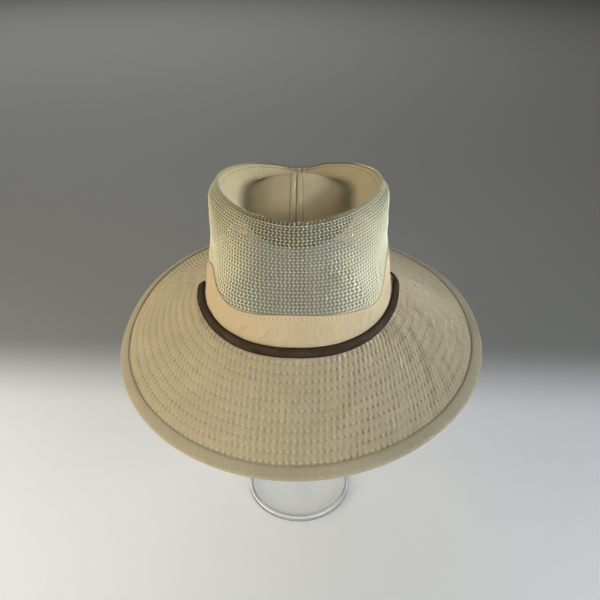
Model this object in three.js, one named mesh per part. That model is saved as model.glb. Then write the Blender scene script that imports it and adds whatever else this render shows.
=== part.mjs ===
// A safari hat of cotton twill with a knitted mesh crown, on a clear acrylic hat stand.
// Millimetres. +Z is up, the hat's front faces -Y, and the origin is under the middle of the stand.
// Azimuths are degrees around the hat, from its front towards +X.
import * as THREE from 'three';

// Facets and seams
const AZIMUTH_STEPS = 64;
const SEAM_GAP = 0.3;
const SLOPE_STEP = 0.5;
const SHARE_STEP = 0.01;

// Hat as a whole: where brim and crown meet, above the table
const BRIM_HEIGHT = 253;

// Crown: cloth, mesh and tip thicknesses, and how far the cotton stands proud of the mesh
const COTTON_THICKNESS = 1.4;
const MESH_THICKNESS = 1.2;
const COTTON_PROUD = 0.4;

// Crown outline by share of its height: half width, length to front and back, middle moved back,
// and the front's squareness (2 is an ellipse, more is squarer, less is pointed)
const CROWN_SECTIONS = [
  { share: 0.00, halfWidth: 81.5, front: 102.5, back: 102.5, shift: 0, power: 2.0 },
  { share: 0.06, halfWidth: 79.2, front: 101.2, back: 101.8, shift: 0, power: 2.1 },
  { share: 0.18, halfWidth: 77.6, front: 100.6, back: 101.0, shift: 0, power: 2.3 },
  { share: 0.37, halfWidth: 75.5, front: 100.0, back: 99.0, shift: 0, power: 2.6 },
  { share: 0.60, halfWidth: 72.5, front: 97.0, back: 95.5, shift: 1.5, power: 2.2 },
  { share: 0.80, halfWidth: 72.3, front: 94.5, back: 90.0, shift: 4.5, power: 1.95 },
  { share: 0.93, halfWidth: 72.0, front: 91.5, back: 84.0, shift: 7.5, power: 1.8 },
  { share: 1.00, halfWidth: 66.5, front: 88.0, back: 76.0, shift: 10.0, power: 1.75 },
];
const FRONT_BLEND = 0.6;

// Dents pushed into the crown wall: the pinch on each side of the front, and the flat front
const CROWN_DENTS = [
  { azimuth: 55, share: 0.42, depth: 5, azimuthSpread: 18, shareSpread: 0.22 },
  { azimuth: 305, share: 0.42, depth: 6, azimuthSpread: 18, shareSpread: 0.22 },
  { azimuth: 0, share: 0.56, depth: 3, azimuthSpread: 16, shareSpread: 0.2 },
];

// Height of the crown's rim seam above the brim: high in front, dipping at the back
const RIM_HEIGHTS = [
  { azimuth: 0, height: 94 },
  { azimuth: 45, height: 94 },
  { azimuth: 90, height: 93 },
  { azimuth: 135, height: 87.2 },
  { azimuth: 160, height: 80.5 },
  { azimuth: 180, height: 74.5 },
  { azimuth: 200, height: 79.2 },
  { azimuth: 225, height: 86.2 },
  { azimuth: 270, height: 92.5 },
  { azimuth: 315, height: 93.5 },
];

// Height of the seam between cotton wall and mesh: level in front, swept up past the pinches
const COTTON_TOPS = [
  { azimuth: 0, height: 34 },
  { azimuth: 25, height: 32.3 },
  { azimuth: 42, height: 28.3 },
  { azimuth: 56, height: 33.5 },
  { azimuth: 75, height: 43 },
  { azimuth: 105, height: 43 },
  { azimuth: 180, height: 36 },
  { azimuth: 255, height: 30 },
  { azimuth: 279, height: 30 },
  { azimuth: 289, height: 34 },
  { azimuth: 299, height: 38.5 },
  { azimuth: 312, height: 40 },
  { azimuth: 325, height: 36.5 },
  { azimuth: 335, height: 33 },
];
const COTTON_ROWS = [0, 0.15, 0.4, 0.7, 1];
const MESH_ROWS = [0, 0.2, 0.4, 0.58, 0.74, 0.86, 0.94, 1];

// Tip: the crease of the teardrop dent, as a share of the way from rim to middle, and how far it
// lies below the rim
const TIP_CREASES = [
  { azimuth: 0, crease: 0.30, drop: 33 },
  { azimuth: 45, crease: 0.29, drop: 28 },
  { azimuth: 90, crease: 0.365, drop: 21 },
  { azimuth: 120, crease: 0.29, drop: 14.5 },
  { azimuth: 150, crease: 0.28, drop: 11.5 },
  { azimuth: 180, crease: 0.34, drop: 9 },
  { azimuth: 210, crease: 0.26, drop: 11.5 },
  { azimuth: 240, crease: 0.23, drop: 14 },
  { azimuth: 270, crease: 0.30, drop: 21 },
  { azimuth: 315, crease: 0.29, drop: 28 },
];
const TIP_ROWS = [0, 0.06, 0.15, 0.27, 0.39, 0.5, 0.53, 0.57, 0.63, 0.72, 0.85, 1];
const TIP_CREASE_ROW = 0.5;
const TIP_MIDDLE_BACK = 12;
const TIP_INSET = 0.45;
const TIP_WALL_BEND = 1.3;

// Cushion that stands inside the crease: height at its back, fall to the front and to the sides,
// and its rounded flank
const CUSHION = { height: 84, back: 46, fall: 0.0023, sideFall: 0.0055, flank: 0.25, flankBend: 2.2 };
const RIM_SEAM_LEAN = { out: 0.35, up: 0.94 };

// Brim: width along the slope, thickness, slope below level at the crown and at the binding, and
// how far the binding turns up from that
const BRIM_WIDTH = 87;
const BRIM_THICKNESS = 2;
const BRIM_SLOPES = [
  { azimuth: 0, inner: 26, outer: 32, turnUp: 0 },
  { azimuth: 30, inner: 26, outer: 27, turnUp: 8 },
  { azimuth: 60, inner: 25, outer: 29, turnUp: 14 },
  { azimuth: 90, inner: 24, outer: 30, turnUp: 16 },
  { azimuth: 120, inner: 23, outer: 29, turnUp: 18 },
  { azimuth: 150, inner: 22, outer: 31, turnUp: 14 },
  { azimuth: 180, inner: 21, outer: 30, turnUp: 10 },
  { azimuth: 210, inner: 22, outer: 27, turnUp: 8 },
  { azimuth: 240, inner: 24, outer: 29, turnUp: 5 },
  { azimuth: 270, inner: 27, outer: 33.5, turnUp: 2 },
  { azimuth: 300, inner: 28, outer: 33, turnUp: 0 },
  { azimuth: 330, inner: 27, outer: 32, turnUp: 0 },
];
const BRIM_ROWS = [0, 0.13, 0.3, 0.5, 0.75, 1];

// Binding folded over the brim's edge: width, cloth thickness, and facets of its rounded fold
const BINDING_WIDTH = 9.5;
const BINDING_CLOTH = 0.9;
const BINDING_FOLD_STEPS = 5;
const HEM_DISTANCE = BRIM_WIDTH - BINDING_WIDTH;

// Leather band: a strap on edge around the front, leaning on the crown at the sides, where it ends and
// turns in by the side seams; lean is from upright and gap is from the crown to its upper edge
const BAND_HEIGHT = 7.7;
const BAND_THICKNESS = 2;
const BAND_LIFT = 0.35;
const BAND_CHAMFER = 0.4;
const BAND_LIES = [
  { azimuth: 0, lean: 12, gap: 0.4 },
  { azimuth: 30, lean: 16, gap: 0.4 },
  { azimuth: 60, lean: 27, gap: 0.4 },
  { azimuth: 84, lean: 38, gap: 0.6 },
  { azimuth: 92, lean: 38, gap: 1.8 },
  { azimuth: 97.5, lean: 36, gap: 2.2 },
  { azimuth: 99.5, lean: 36, gap: 0.4 },
  { azimuth: 272.5, lean: 47, gap: 0.5 },
  { azimuth: 285, lean: 45, gap: 0.4 },
  { azimuth: 305, lean: 32, gap: 0.4 },
  { azimuth: 330, lean: 17, gap: 0.4 },
];
const BAND_ENDS = { from: 272.5, to: 459.5 };

// Stand: round foot, post and the plate under the crown's tip
const STAND_BASE = { radius: 55, thickness: 6, round: 1.5, facets: 48 };
const STAND_POST = { radius: 6, round: 0.5, facets: 20 };
const STAND_TOP = { radius: 22, thickness: 5, round: 1.5, facets: 32 };

const TURN = 360;
const UP = new THREE.Vector3(0, 0, 1);
const radians = THREE.MathUtils.degToRad;

// Smooth value between two rows, with the slope at each
function hermite(from, to, x) {
  const width = to.x - from.x;
  const t = (x - from.x) / width;
  const rise = t * t * (3 - 2 * t);
  const lead = t * (1 - t) * (1 - t) * width;
  const tail = t * t * (t - 1) * width;
  return from.y * (1 - rise) + to.y * rise + from.slope * lead + to.slope * tail;
}

// One row of a closed table as x and y, counted on past either end
function turnedRow(table, column, index) {
  const turns = Math.floor(index / table.length);
  const row = table[index - turns * table.length];
  return { x: row.azimuth + TURN * turns, y: row[column] };
}

// The last row at or before an azimuth
function rowBefore(table, azimuth) {
  const later = table.findIndex((row) => row.azimuth > azimuth);
  return later < 0 ? table.length - 1 : later - 1;
}

// A column of a closed table at an azimuth, smooth all round
function around(table, column, azimuth) {
  const place = THREE.MathUtils.euclideanModulo(azimuth, TURN);
  const index = rowBefore(table, place);
  const rows = [-1, 0, 1, 2].map((step) => turnedRow(table, column, index + step));
  const slopeAt = (i) => (rows[i + 1].y - rows[i - 1].y) / (rows[i + 1].x - rows[i - 1].x);
  const from = { ...rows[1], slope: slopeAt(1) };
  const to = { ...rows[2], slope: slopeAt(2) };
  return hermite(from, to, place);
}

// A column of a closed table at an azimuth, with straight lines from row to row
function straightAround(table, column, azimuth) {
  const place = THREE.MathUtils.euclideanModulo(azimuth, TURN);
  const index = rowBefore(table, place);
  const from = turnedRow(table, column, index);
  const to = turnedRow(table, column, index + 1);
  return THREE.MathUtils.mapLinear(place, from.x, to.x, from.y, to.y);
}

// A column of the crown's sections at a share of its height
function upCrown(column, share) {
  const last = CROWN_SECTIONS.length - 1;
  const later = CROWN_SECTIONS.findIndex((row) => row.share > share);
  const index = later < 0 ? last - 1 : Math.max(later - 1, 0);
  const row = (i) => CROWN_SECTIONS[THREE.MathUtils.clamp(i, 0, last)];
  const slopeAt = (i) => (row(i + 1)[column] - row(i - 1)[column]) / (row(i + 1).share - row(i - 1).share);
  const point = (i) => ({ x: row(i).share, y: row(i)[column], slope: slopeAt(i) });
  return hermite(point(index), point(index + 1), share);
}

// Level direction outwards at an azimuth
function outwards(azimuth) {
  const angle = radians(azimuth);
  return new THREE.Vector3(Math.sin(angle), -Math.cos(angle), 0);
}

function rimHeight(azimuth) {
  return around(RIM_HEIGHTS, 'height', azimuth);
}

// How far the dents push the crown wall in
function dentDepth(azimuth, share) {
  let depth = 0;
  for (const dent of CROWN_DENTS) {
    const turned = THREE.MathUtils.euclideanModulo(azimuth - dent.azimuth + TURN / 2, TURN) - TURN / 2;
    const across = turned / dent.azimuthSpread;
    const upwards = (share - dent.share) / dent.shareSpread;
    depth += dent.depth * Math.exp(-across * across - upwards * upwards);
  }
  return depth;
}

// Distance of the crown's outside from its middle line
function crownRadius(azimuth, share) {
  const angle = radians(azimuth);
  const forward = Math.cos(angle);
  const length = upCrown(forward > 0 ? 'front' : 'back', share);
  const power = 2 + (upCrown('power', share) - 2) * THREE.MathUtils.smoothstep(forward, 0, FRONT_BLEND);
  const sideways = Math.abs(Math.sin(angle)) / upCrown('halfWidth', share);
  const lengthways = Math.abs(forward) / length;
  return (sideways ** power + lengthways ** power) ** (-1 / power) - dentDepth(azimuth, share);
}

// Point on the crown's outside, moved out by a distance
function crownPoint(azimuth, share, proud = 0) {
  const point = outwards(azimuth).multiplyScalar(crownRadius(azimuth, share) + proud);
  point.y += upCrown('shift', share);
  point.z = BRIM_HEIGHT + share * rimHeight(azimuth);
  return point;
}

// Direction square to a surface that is given by azimuth and share
function squareTo(surface, azimuth, share) {
  const across = surface(azimuth + SLOPE_STEP, share).sub(surface(azimuth - SLOPE_STEP, share));
  const low = Math.max(share - SHARE_STEP, 0);
  const high = Math.min(share + SHARE_STEP, 1);
  const along = surface(azimuth, high).sub(surface(azimuth, low));
  return across.cross(along).normalize();
}

// Shared direction of the cloth's edges in the rim seam
function rimSeamDirection(azimuth) {
  const leaning = outwards(azimuth).multiplyScalar(RIM_SEAM_LEAN.out);
  return leaning.addScaledVector(UP, RIM_SEAM_LEAN.up).normalize();
}

// Closed outline of a wall: its outside points in order, then its inside points back again
function wallSection(outside, directions, thickness) {
  const inside = outside.map((point, i) => point.clone().addScaledVector(directions[i], -thickness));
  return [...outside, ...inside.reverse()];
}

// Share of the crown's height at the seam between cotton and mesh
function cottonShare(azimuth) {
  return around(COTTON_TOPS, 'height', azimuth) / rimHeight(azimuth);
}

// Cotton wall: runs down beside the brim's inner edge and up to the seam with the mesh
function cottonWallSection(azimuth) {
  const top = cottonShare(azimuth) - SEAM_GAP / 2 / rimHeight(azimuth);
  const shares = COTTON_ROWS.map((row) => row * top);
  const outside = shares.map((share) => crownPoint(azimuth, share));
  const directions = shares.map((share) => squareTo(crownPoint, azimuth, share));
  const foot = outside[0].clone().addScaledVector(UP, -BRIM_THICKNESS);
  directions[0] = outwards(azimuth);
  return wallSection([foot, ...outside], [outwards(azimuth), ...directions], COTTON_THICKNESS);
}

// Mesh wall: from the cotton's seam over the shoulder to the rim seam
function meshWallSection(azimuth) {
  const foot = cottonShare(azimuth) + SEAM_GAP / 2 / rimHeight(azimuth);
  const shares = MESH_ROWS.map((row) => THREE.MathUtils.lerp(foot, 1, row));
  const outside = shares.map((share) => crownPoint(azimuth, share, -COTTON_PROUD));
  const directions = shares.map((share) => squareTo(crownPoint, azimuth, share));
  directions[directions.length - 1] = rimSeamDirection(azimuth);
  return wallSection(outside, directions, MESH_THICKNESS);
}

// Height of the cushion's top above the brim
function cushionHeight(x, y) {
  const forward = Math.max(CUSHION.back - y, 0);
  return CUSHION.height - CUSHION.fall * forward * forward - CUSHION.sideFall * x * x;
}

// Point on the tip's upper side: share 0 is the rim seam, the crease follows, and share 1 is the middle
function tipPoint(azimuth, share) {
  const rim = crownPoint(azimuth, 1, -COTTON_PROUD);
  const inset = TIP_INSET / Math.hypot(rim.x, rim.y - TIP_MIDDLE_BACK);
  const crease = around(TIP_CREASES, 'crease', azimuth);
  const toCrease = Math.min(share / TIP_CREASE_ROW, 1);
  const pastCrease = Math.max((share - TIP_CREASE_ROW) / (1 - TIP_CREASE_ROW), 0);
  const way = THREE.MathUtils.lerp(THREE.MathUtils.lerp(inset, crease, toCrease), 1, pastCrease);
  const x = rim.x * (1 - way);
  const y = THREE.MathUtils.lerp(rim.y, TIP_MIDDLE_BACK, way);
  const sunk = rim.z - around(TIP_CREASES, 'drop', azimuth) * toCrease ** TIP_WALL_BEND;
  const upFlank = 1 - (1 - Math.min((way - crease) / CUSHION.flank, 1)) ** CUSHION.flankBend;
  const cushion = BRIM_HEIGHT + cushionHeight(x, y);
  const height = pastCrease > 0 ? THREE.MathUtils.lerp(sunk, cushion, upFlank) : sunk;
  return new THREE.Vector3(x, y, height);
}

// One radial section of a tip half, kept square to the centre seam where it meets it
function tipSection(azimuth, side) {
  const onSeam = azimuth % (TURN / 2) === 0;
  const outside = TIP_ROWS.map((share) => tipPoint(azimuth, share));
  const directions = TIP_ROWS.map((share) => squareTo(tipPoint, azimuth, share));
  directions[0] = rimSeamDirection(azimuth);
  directions[TIP_ROWS.length - 1] = UP.clone();
  if (onSeam) {
    directions.forEach((direction) => direction.setX(0).normalize());
  }
  const section = wallSection(outside, directions, COTTON_THICKNESS);
  section.forEach((point) => {
    point.x = (onSeam ? 0 : point.x) + side * SEAM_GAP / 2;
  });
  return section;
}

// Place on the brim at a distance out from the crown, with its direction square to the cloth
function brimPlace(azimuth, distance) {
  const inner = radians(around(BRIM_SLOPES, 'inner', azimuth));
  const outer = radians(around(BRIM_SLOPES, 'outer', azimuth));
  const bound = Math.max(distance - HEM_DISTANCE, 0);
  const unbound = distance - bound;
  const slope = THREE.MathUtils.lerp(inner, outer, unbound / HEM_DISTANCE);
  const half = (slope - inner) / 2;
  const chord = unbound * (half === 0 ? 1 : Math.sin(half) / half);
  const here = slope - (bound > 0 ? radians(around(BRIM_SLOPES, 'turnUp', azimuth)) : 0);
  const out = chord * Math.cos(inner + half) + bound * Math.cos(here);
  const point = crownPoint(azimuth, 0, SEAM_GAP + out);
  point.z -= chord * Math.sin(inner + half) + bound * Math.sin(here);
  const square = outwards(azimuth).multiplyScalar(Math.sin(here)).addScaledVector(UP, Math.cos(here));
  return { point, square };
}

// Brim: from beside the crown's foot to inside the binding's fold
function brimSection(azimuth) {
  const reach = BRIM_WIDTH - 2 * BINDING_CLOTH - SEAM_GAP;
  const distances = [...BRIM_ROWS.map((row) => row * HEM_DISTANCE), reach];
  const places = distances.map((distance) => brimPlace(azimuth, distance));
  const directions = places.map((place) => place.square);
  directions[0] = UP;
  return wallSection(places.map((place) => place.point), directions, BRIM_THICKNESS);
}

// Binding: top leg, rounded fold, under leg, and the channel that takes the brim's edge
function bindingSection(azimuth) {
  const middle = -BRIM_THICKNESS / 2;
  const channel = BRIM_THICKNESS / 2 + SEAM_GAP;
  const radius = channel + BINDING_CLOTH;
  const at = (back, proud) => {
    const { point, square } = brimPlace(azimuth, BRIM_WIDTH - back);
    return point.addScaledVector(square, middle + proud);
  };
  const fold = [];
  for (let step = 0; step <= BINDING_FOLD_STEPS; step += 1) {
    const angle = Math.PI * (0.5 - step / BINDING_FOLD_STEPS);
    fold.push(at(radius * (1 - Math.cos(angle)), radius * Math.sin(angle)));
  }
  const upperLeg = at(BINDING_WIDTH, radius);
  const underLeg = [at(BINDING_WIDTH, -radius), at(BINDING_WIDTH, -channel)];
  const bottom = 2 * BINDING_CLOTH;
  const inside = [at(bottom, -channel), at(bottom, channel), at(BINDING_WIDTH, channel)];
  return [upperLeg, ...fold, ...underLeg, ...inside];
}

// Height of the brim's upper side beside the crown, at a level distance out from it
function brimBeside(azimuth, out) {
  return BRIM_HEIGHT - (out - SEAM_GAP) * Math.tan(radians(around(BRIM_SLOPES, 'inner', azimuth)));
}

// Band: a flat strap with its lower edge on the brim, its upper edge by the crown and its corners eased
function bandSection(azimuth) {
  const lean = radians(straightAround(BAND_LIES, 'lean', azimuth));
  const out = outwards(azimuth);
  const upStrap = out.clone().multiplyScalar(-Math.sin(lean)).addScaledVector(UP, Math.cos(lean));
  const throughStrap = out.clone().multiplyScalar(Math.cos(lean)).addScaledVector(UP, Math.sin(lean));
  const loose = straightAround(BAND_LIES, 'gap', azimuth) + BAND_HEIGHT * Math.sin(lean);
  const top = brimBeside(azimuth, loose) + BAND_LIFT + BAND_HEIGHT * Math.cos(lean) - BRIM_HEIGHT;
  const inset = crownRadius(azimuth, 0) - crownRadius(azimuth, top / rimHeight(azimuth));
  const foot = crownPoint(azimuth, 0, loose - inset);
  foot.z = brimBeside(azimuth, loose - inset) + BAND_LIFT;
  const at = (up, through) => {
    const point = foot.clone().addScaledVector(upStrap, up);
    return point.addScaledVector(throughStrap, through);
  };
  const face = BAND_THICKNESS - BAND_CHAMFER;
  const crest = BAND_HEIGHT - BAND_CHAMFER;
  return [
    at(0, 0), at(0, face), at(BAND_CHAMFER, BAND_THICKNESS),
    at(crest, BAND_THICKNESS), at(BAND_HEIGHT, face), at(BAND_HEIGHT, 0),
  ];
}

// Evenly spaced azimuths over part of a turn, both ends included
function azimuths(from, to) {
  const steps = Math.round(AZIMUTH_STEPS * (to - from) / TURN);
  return Array.from({ length: steps + 1 }, (_, i) => from + (to - from) * i / steps);
}

// The crown's azimuths over part of a turn, with those of a table's rows added
function azimuthsWith(table, { from, to }) {
  const shared = azimuths(0, 2 * TURN).filter((azimuth) => azimuth > from && azimuth < to);
  const rows = table.map((row) => (row.azimuth < from ? row.azimuth + TURN : row.azimuth));
  return [...new Set([...shared, ...rows])].sort((a, b) => a - b);
}

// Six times the volume inside a list of triangles
function sixVolumes(points, triangles) {
  let total = 0;
  for (let i = 0; i < triangles.length; i += 3) {
    const [a, b, c] = [0, 1, 2].map((k) => points[triangles[i + k]]);
    total += a.dot(b.clone().cross(c));
  }
  return total;
}

// Closed geometry over a row of sections, joined end to end or capped with quads at both ends
function skinSections(sections, joined) {
  const size = sections[0].length;
  const points = sections.flat();
  const triangles = [];
  const apart = (a, b) => points[a].distanceTo(points[b]) > 0;
  const addTriangle = (a, b, c) => {
    if (apart(a, b) && apart(b, c) && apart(c, a)) {
      triangles.push(a, b, c);
    }
  };
  const addQuad = (a, b, c, d) => {
    addTriangle(a, b, c);
    addTriangle(a, c, d);
  };
  const spans = joined ? sections.length : sections.length - 1;
  for (let j = 0; j < spans; j += 1) {
    const next = (j + 1) % sections.length;
    for (let i = 0; i < size; i += 1) {
      const after = (i + 1) % size;
      addQuad(j * size + i, next * size + i, next * size + after, j * size + after);
    }
  }
  if (!joined) {
    const end = (sections.length - 1) * size;
    for (let i = 0; i < size / 2 - 1; i += 1) {
      const across = size - 1 - i;
      addQuad(i, i + 1, across - 1, across);
      addQuad(end + i, end + across, end + across - 1, end + i + 1);
    }
  }
  if (sixVolumes(points, triangles) < 0) {
    triangles.reverse();
  }
  const geometry = new THREE.BufferGeometry().setFromPoints(points);
  geometry.setIndex(triangles);
  geometry.computeVertexNormals();
  return geometry;
}

function ring(sectionAt) {
  return skinSections(azimuths(0, TURN).slice(0, -1).map(sectionAt), true);
}

function strip(sectionAt, places) {
  return skinSections(places.map(sectionAt), false);
}

function tipHalf(from, side) {
  return strip((azimuth) => tipSection(azimuth, side), azimuths(from, from + TURN / 2));
}

// Round plate or rod standing on a height, with eased edges
function turnedPlate({ radius, round, facets }, bottom, top) {
  const profile = [
    new THREE.Vector2(0, bottom),
    new THREE.Vector2(radius - round, bottom),
    new THREE.Vector2(radius, bottom + round),
    new THREE.Vector2(radius, top - round),
    new THREE.Vector2(radius - round, top),
    new THREE.Vector2(0, top),
  ];
  return new THREE.LatheGeometry(profile, facets).rotateX(Math.PI / 2);
}

const twill = new THREE.MeshStandardMaterial({ color: 0xa59678, roughness: 0.9 });
const twillEdge = new THREE.MeshStandardMaterial({ color: 0x9f9173, roughness: 0.9 });
const cotton = new THREE.MeshStandardMaterial({ color: 0xcdb990, roughness: 0.9 });
const mesh = new THREE.MeshStandardMaterial({ color: 0xb9b08a, roughness: 0.85 });
const tipCotton = new THREE.MeshStandardMaterial({ color: 0xb5a582, roughness: 0.9 });
const leather = new THREE.MeshStandardMaterial({ color: 0x3c2d23, roughness: 0.55 });
const acrylic = new THREE.MeshStandardMaterial({
  color: 0xf2f4f2, roughness: 0.05, transparent: true, opacity: 0.35,
});

const plateFront = STAND_TOP.round - STAND_TOP.radius;
const cushionSlope = 2 * CUSHION.fall * (CUSHION.back - plateFront);
const plateUnder = COTTON_THICKNESS * Math.hypot(1, cushionSlope) + SEAM_GAP;
const plateTop = BRIM_HEIGHT + cushionHeight(0, plateFront) - plateUnder;
const plateBottom = plateTop - STAND_TOP.thickness;
const postBottom = STAND_BASE.thickness + SEAM_GAP;
const postTop = plateBottom - SEAM_GAP;

const pieces = [
  ['brim', ring(brimSection), twill],
  ['brim_binding', ring(bindingSection), twillEdge],
  ['crown_wall_cotton', ring(cottonWallSection), cotton],
  ['crown_wall_mesh', ring(meshWallSection), mesh],
  ['crown_tip_left', tipHalf(0, 1), tipCotton],
  ['crown_tip_right', tipHalf(TURN / 2, -1), tipCotton],
  ['hat_band', strip(bandSection, azimuthsWith(BAND_LIES, BAND_ENDS)), leather],
  ['stand_base', turnedPlate(STAND_BASE, 0, STAND_BASE.thickness), acrylic],
  ['stand_post', turnedPlate(STAND_POST, postBottom, postTop), acrylic],
  ['stand_top', turnedPlate(STAND_TOP, plateBottom, plateTop), acrylic],
];

const hatOnStand = new THREE.Group();
for (const [name, geometry, material] of pieces) {
  const piece = new THREE.Mesh(geometry, material.clone());
  piece.name = name;
  hatOnStand.add(piece);
}

export default hatOnStand;
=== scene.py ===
"""Looks of a safari hat on its clear stand: quilted cloth, knitted net, leather and acrylic.

The file is laid out as an add-on and run as a script. Lengths are metres, angles are degrees, and
azimuths run around the hat from its front, which faces -Y, towards +X.
"""
import math

import bmesh
import bpy
import numpy as np
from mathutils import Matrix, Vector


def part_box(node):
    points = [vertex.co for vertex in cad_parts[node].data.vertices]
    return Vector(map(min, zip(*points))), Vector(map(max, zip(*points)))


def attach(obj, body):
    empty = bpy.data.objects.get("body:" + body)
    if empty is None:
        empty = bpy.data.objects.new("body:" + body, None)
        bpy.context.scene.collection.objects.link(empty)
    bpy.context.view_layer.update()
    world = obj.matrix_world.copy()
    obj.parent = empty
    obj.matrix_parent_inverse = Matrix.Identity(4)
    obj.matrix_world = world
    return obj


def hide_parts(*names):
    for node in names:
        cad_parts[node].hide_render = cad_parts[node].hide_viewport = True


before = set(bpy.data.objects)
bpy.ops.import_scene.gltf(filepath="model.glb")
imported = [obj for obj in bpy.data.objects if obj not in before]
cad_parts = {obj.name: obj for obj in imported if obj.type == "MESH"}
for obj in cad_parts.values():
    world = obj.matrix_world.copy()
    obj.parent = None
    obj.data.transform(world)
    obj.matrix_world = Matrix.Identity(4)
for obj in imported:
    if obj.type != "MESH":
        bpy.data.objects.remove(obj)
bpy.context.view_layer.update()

bl_info = {
    "name": "Safari hat on a stand",
    "version": (1, 0, 0),
    "blender": (4, 5, 0),
    "location": "3D View > Sidebar > Hat",
    "description": "Dresses a safari hat and its stand in stitched cloth, net, leather and acrylic",
    "category": "Object",
}

MM = 0.001
TURN = 360.0


def table(columns, rows, lengths=""):
    """A short table as one array for each named column; its lengths are written in millimetres."""
    named = dict(zip(columns.split(), np.array(rows, float).T))
    for column in lengths.split():
        named[column] = named[column] * MM
    return named


# Hat as a whole: the seam of brim and crown, and the cloth
BRIM_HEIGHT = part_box("brim")[1].z
SEAM_GAP = 0.3 * MM
COTTON_THICKNESS = 1.4 * MM
NET_THICKNESS = 1.2 * MM
COTTON_PROUD = 0.4 * MM
BRIM_THICKNESS = 2 * MM

# Crown outline by share of its height
CROWN_SECTIONS = table(
    "share half_width front back shift power",
    [
        (0.00, 81.5, 102.5, 102.5, 0, 2.0),
        (0.06, 79.2, 101.2, 101.8, 0, 2.1),
        (0.18, 77.6, 100.6, 101.0, 0, 2.3),
        (0.37, 75.5, 100.0, 99.0, 0, 2.6),
        (0.60, 72.5, 97.0, 95.5, 1.5, 2.2),
        (0.80, 72.3, 94.5, 90.0, 4.5, 1.95),
        (0.93, 72.0, 91.5, 84.0, 7.5, 1.8),
        (1.00, 66.5, 88.0, 76.0, 10.0, 1.75),
    ],
    "half_width front back shift",
)
FRONT_BLEND = 0.6
CROWN_DENTS = table(
    "azimuth share depth azimuth_spread share_spread",
    [(55, 0.42, 5, 18, 0.22), (305, 0.42, 6, 18, 0.22), (0, 0.56, 3, 16, 0.2)],
    "depth",
)
RIM_HEIGHTS = table(
    "azimuth height",
    [
        (0, 94), (45, 94), (90, 93), (135, 87.2), (160, 80.5),
        (180, 74.5), (200, 79.2), (225, 86.2), (270, 92.5), (315, 93.5),
    ],
    "height",
)
COTTON_TOPS = table(
    "azimuth height",
    [
        (0, 34), (25, 32.3), (42, 28.3), (56, 33.5), (75, 43), (105, 43), (180, 36), (255, 30),
        (279, 30), (289, 34), (299, 38.5), (312, 40), (325, 36.5), (335, 33),
    ],
    "height",
)

# Tip: its teardrop crease and the cushion inside it
TIP_CREASES = table(
    "azimuth crease drop",
    [
        (0, 0.30, 33), (45, 0.29, 28), (90, 0.365, 21), (120, 0.29, 14.5), (150, 0.28, 11.5),
        (180, 0.34, 9), (210, 0.26, 11.5), (240, 0.23, 14), (270, 0.30, 21), (315, 0.29, 28),
    ],
    "drop",
)
TIP_CREASE_ROW = 0.5
TIP_MIDDLE_BACK = 12 * MM
TIP_INSET = 0.45 * MM
TIP_WALL_BEND = 1.3
CUSHION_HEIGHT = 84 * MM
CUSHION_BACK = 46 * MM
CUSHION_FALL = 0.0023 / MM
CUSHION_SIDE_FALL = 0.0055 / MM
CUSHION_FLANK = 0.25
CUSHION_FLANK_BEND = 2.2
RIM_SEAM_OUT = 0.35
RIM_SEAM_UP = 0.94

# Brim: slopes below level at the crown and at the binding, and how far the binding turns up
BRIM_WIDTH = 87 * MM
BINDING_WIDTH = 9.5 * MM
BINDING_CLOTH = 0.9 * MM
HEM_DISTANCE = BRIM_WIDTH - BINDING_WIDTH
BRIM_SLOPES = table(
    "azimuth inner outer turn_up",
    [
        (0, 26, 32, 0), (30, 26, 27, 8), (60, 25, 29, 14), (90, 24, 30, 16),
        (120, 23, 29, 18), (150, 22, 31, 14), (180, 21, 30, 10), (210, 22, 27, 8),
        (240, 24, 29, 5), (270, 27, 33.5, 2), (300, 28, 33, 0), (330, 27, 32, 0),
    ],
)

# Strength of the small ridges that the brim's stitches draw up
BRIM_RIPPLES = table(
    "azimuth strength",
    [
        (0, 0.65), (20, 0.95), (45, 1.25), (75, 1.2), (100, 0.95),
        (180, 0.7), (260, 0.55), (300, 0.65), (335, 0.66),
    ],
)

# Leather band around the front: its lean from upright, and the gap from the crown to its upper edge
BAND_HEIGHT = 7.7 * MM
BAND_THICKNESS = 2 * MM
BAND_LIFT = 0.35 * MM
BAND_LIES = table(
    "azimuth lean gap",
    [
        (0, 12, 0.4), (30, 16, 0.4), (60, 27, 0.4), (84, 38, 0.6), (92, 38, 1.8),
        (97.5, 36, 2.2), (99.5, 36, 0.4), (272.5, 47, 0.5), (285, 45, 0.4), (305, 32, 0.4),
        (330, 17, 0.4),
    ],
    "gap",
)
BAND_FROM = 272.5
BAND_TO = 459.5

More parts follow.
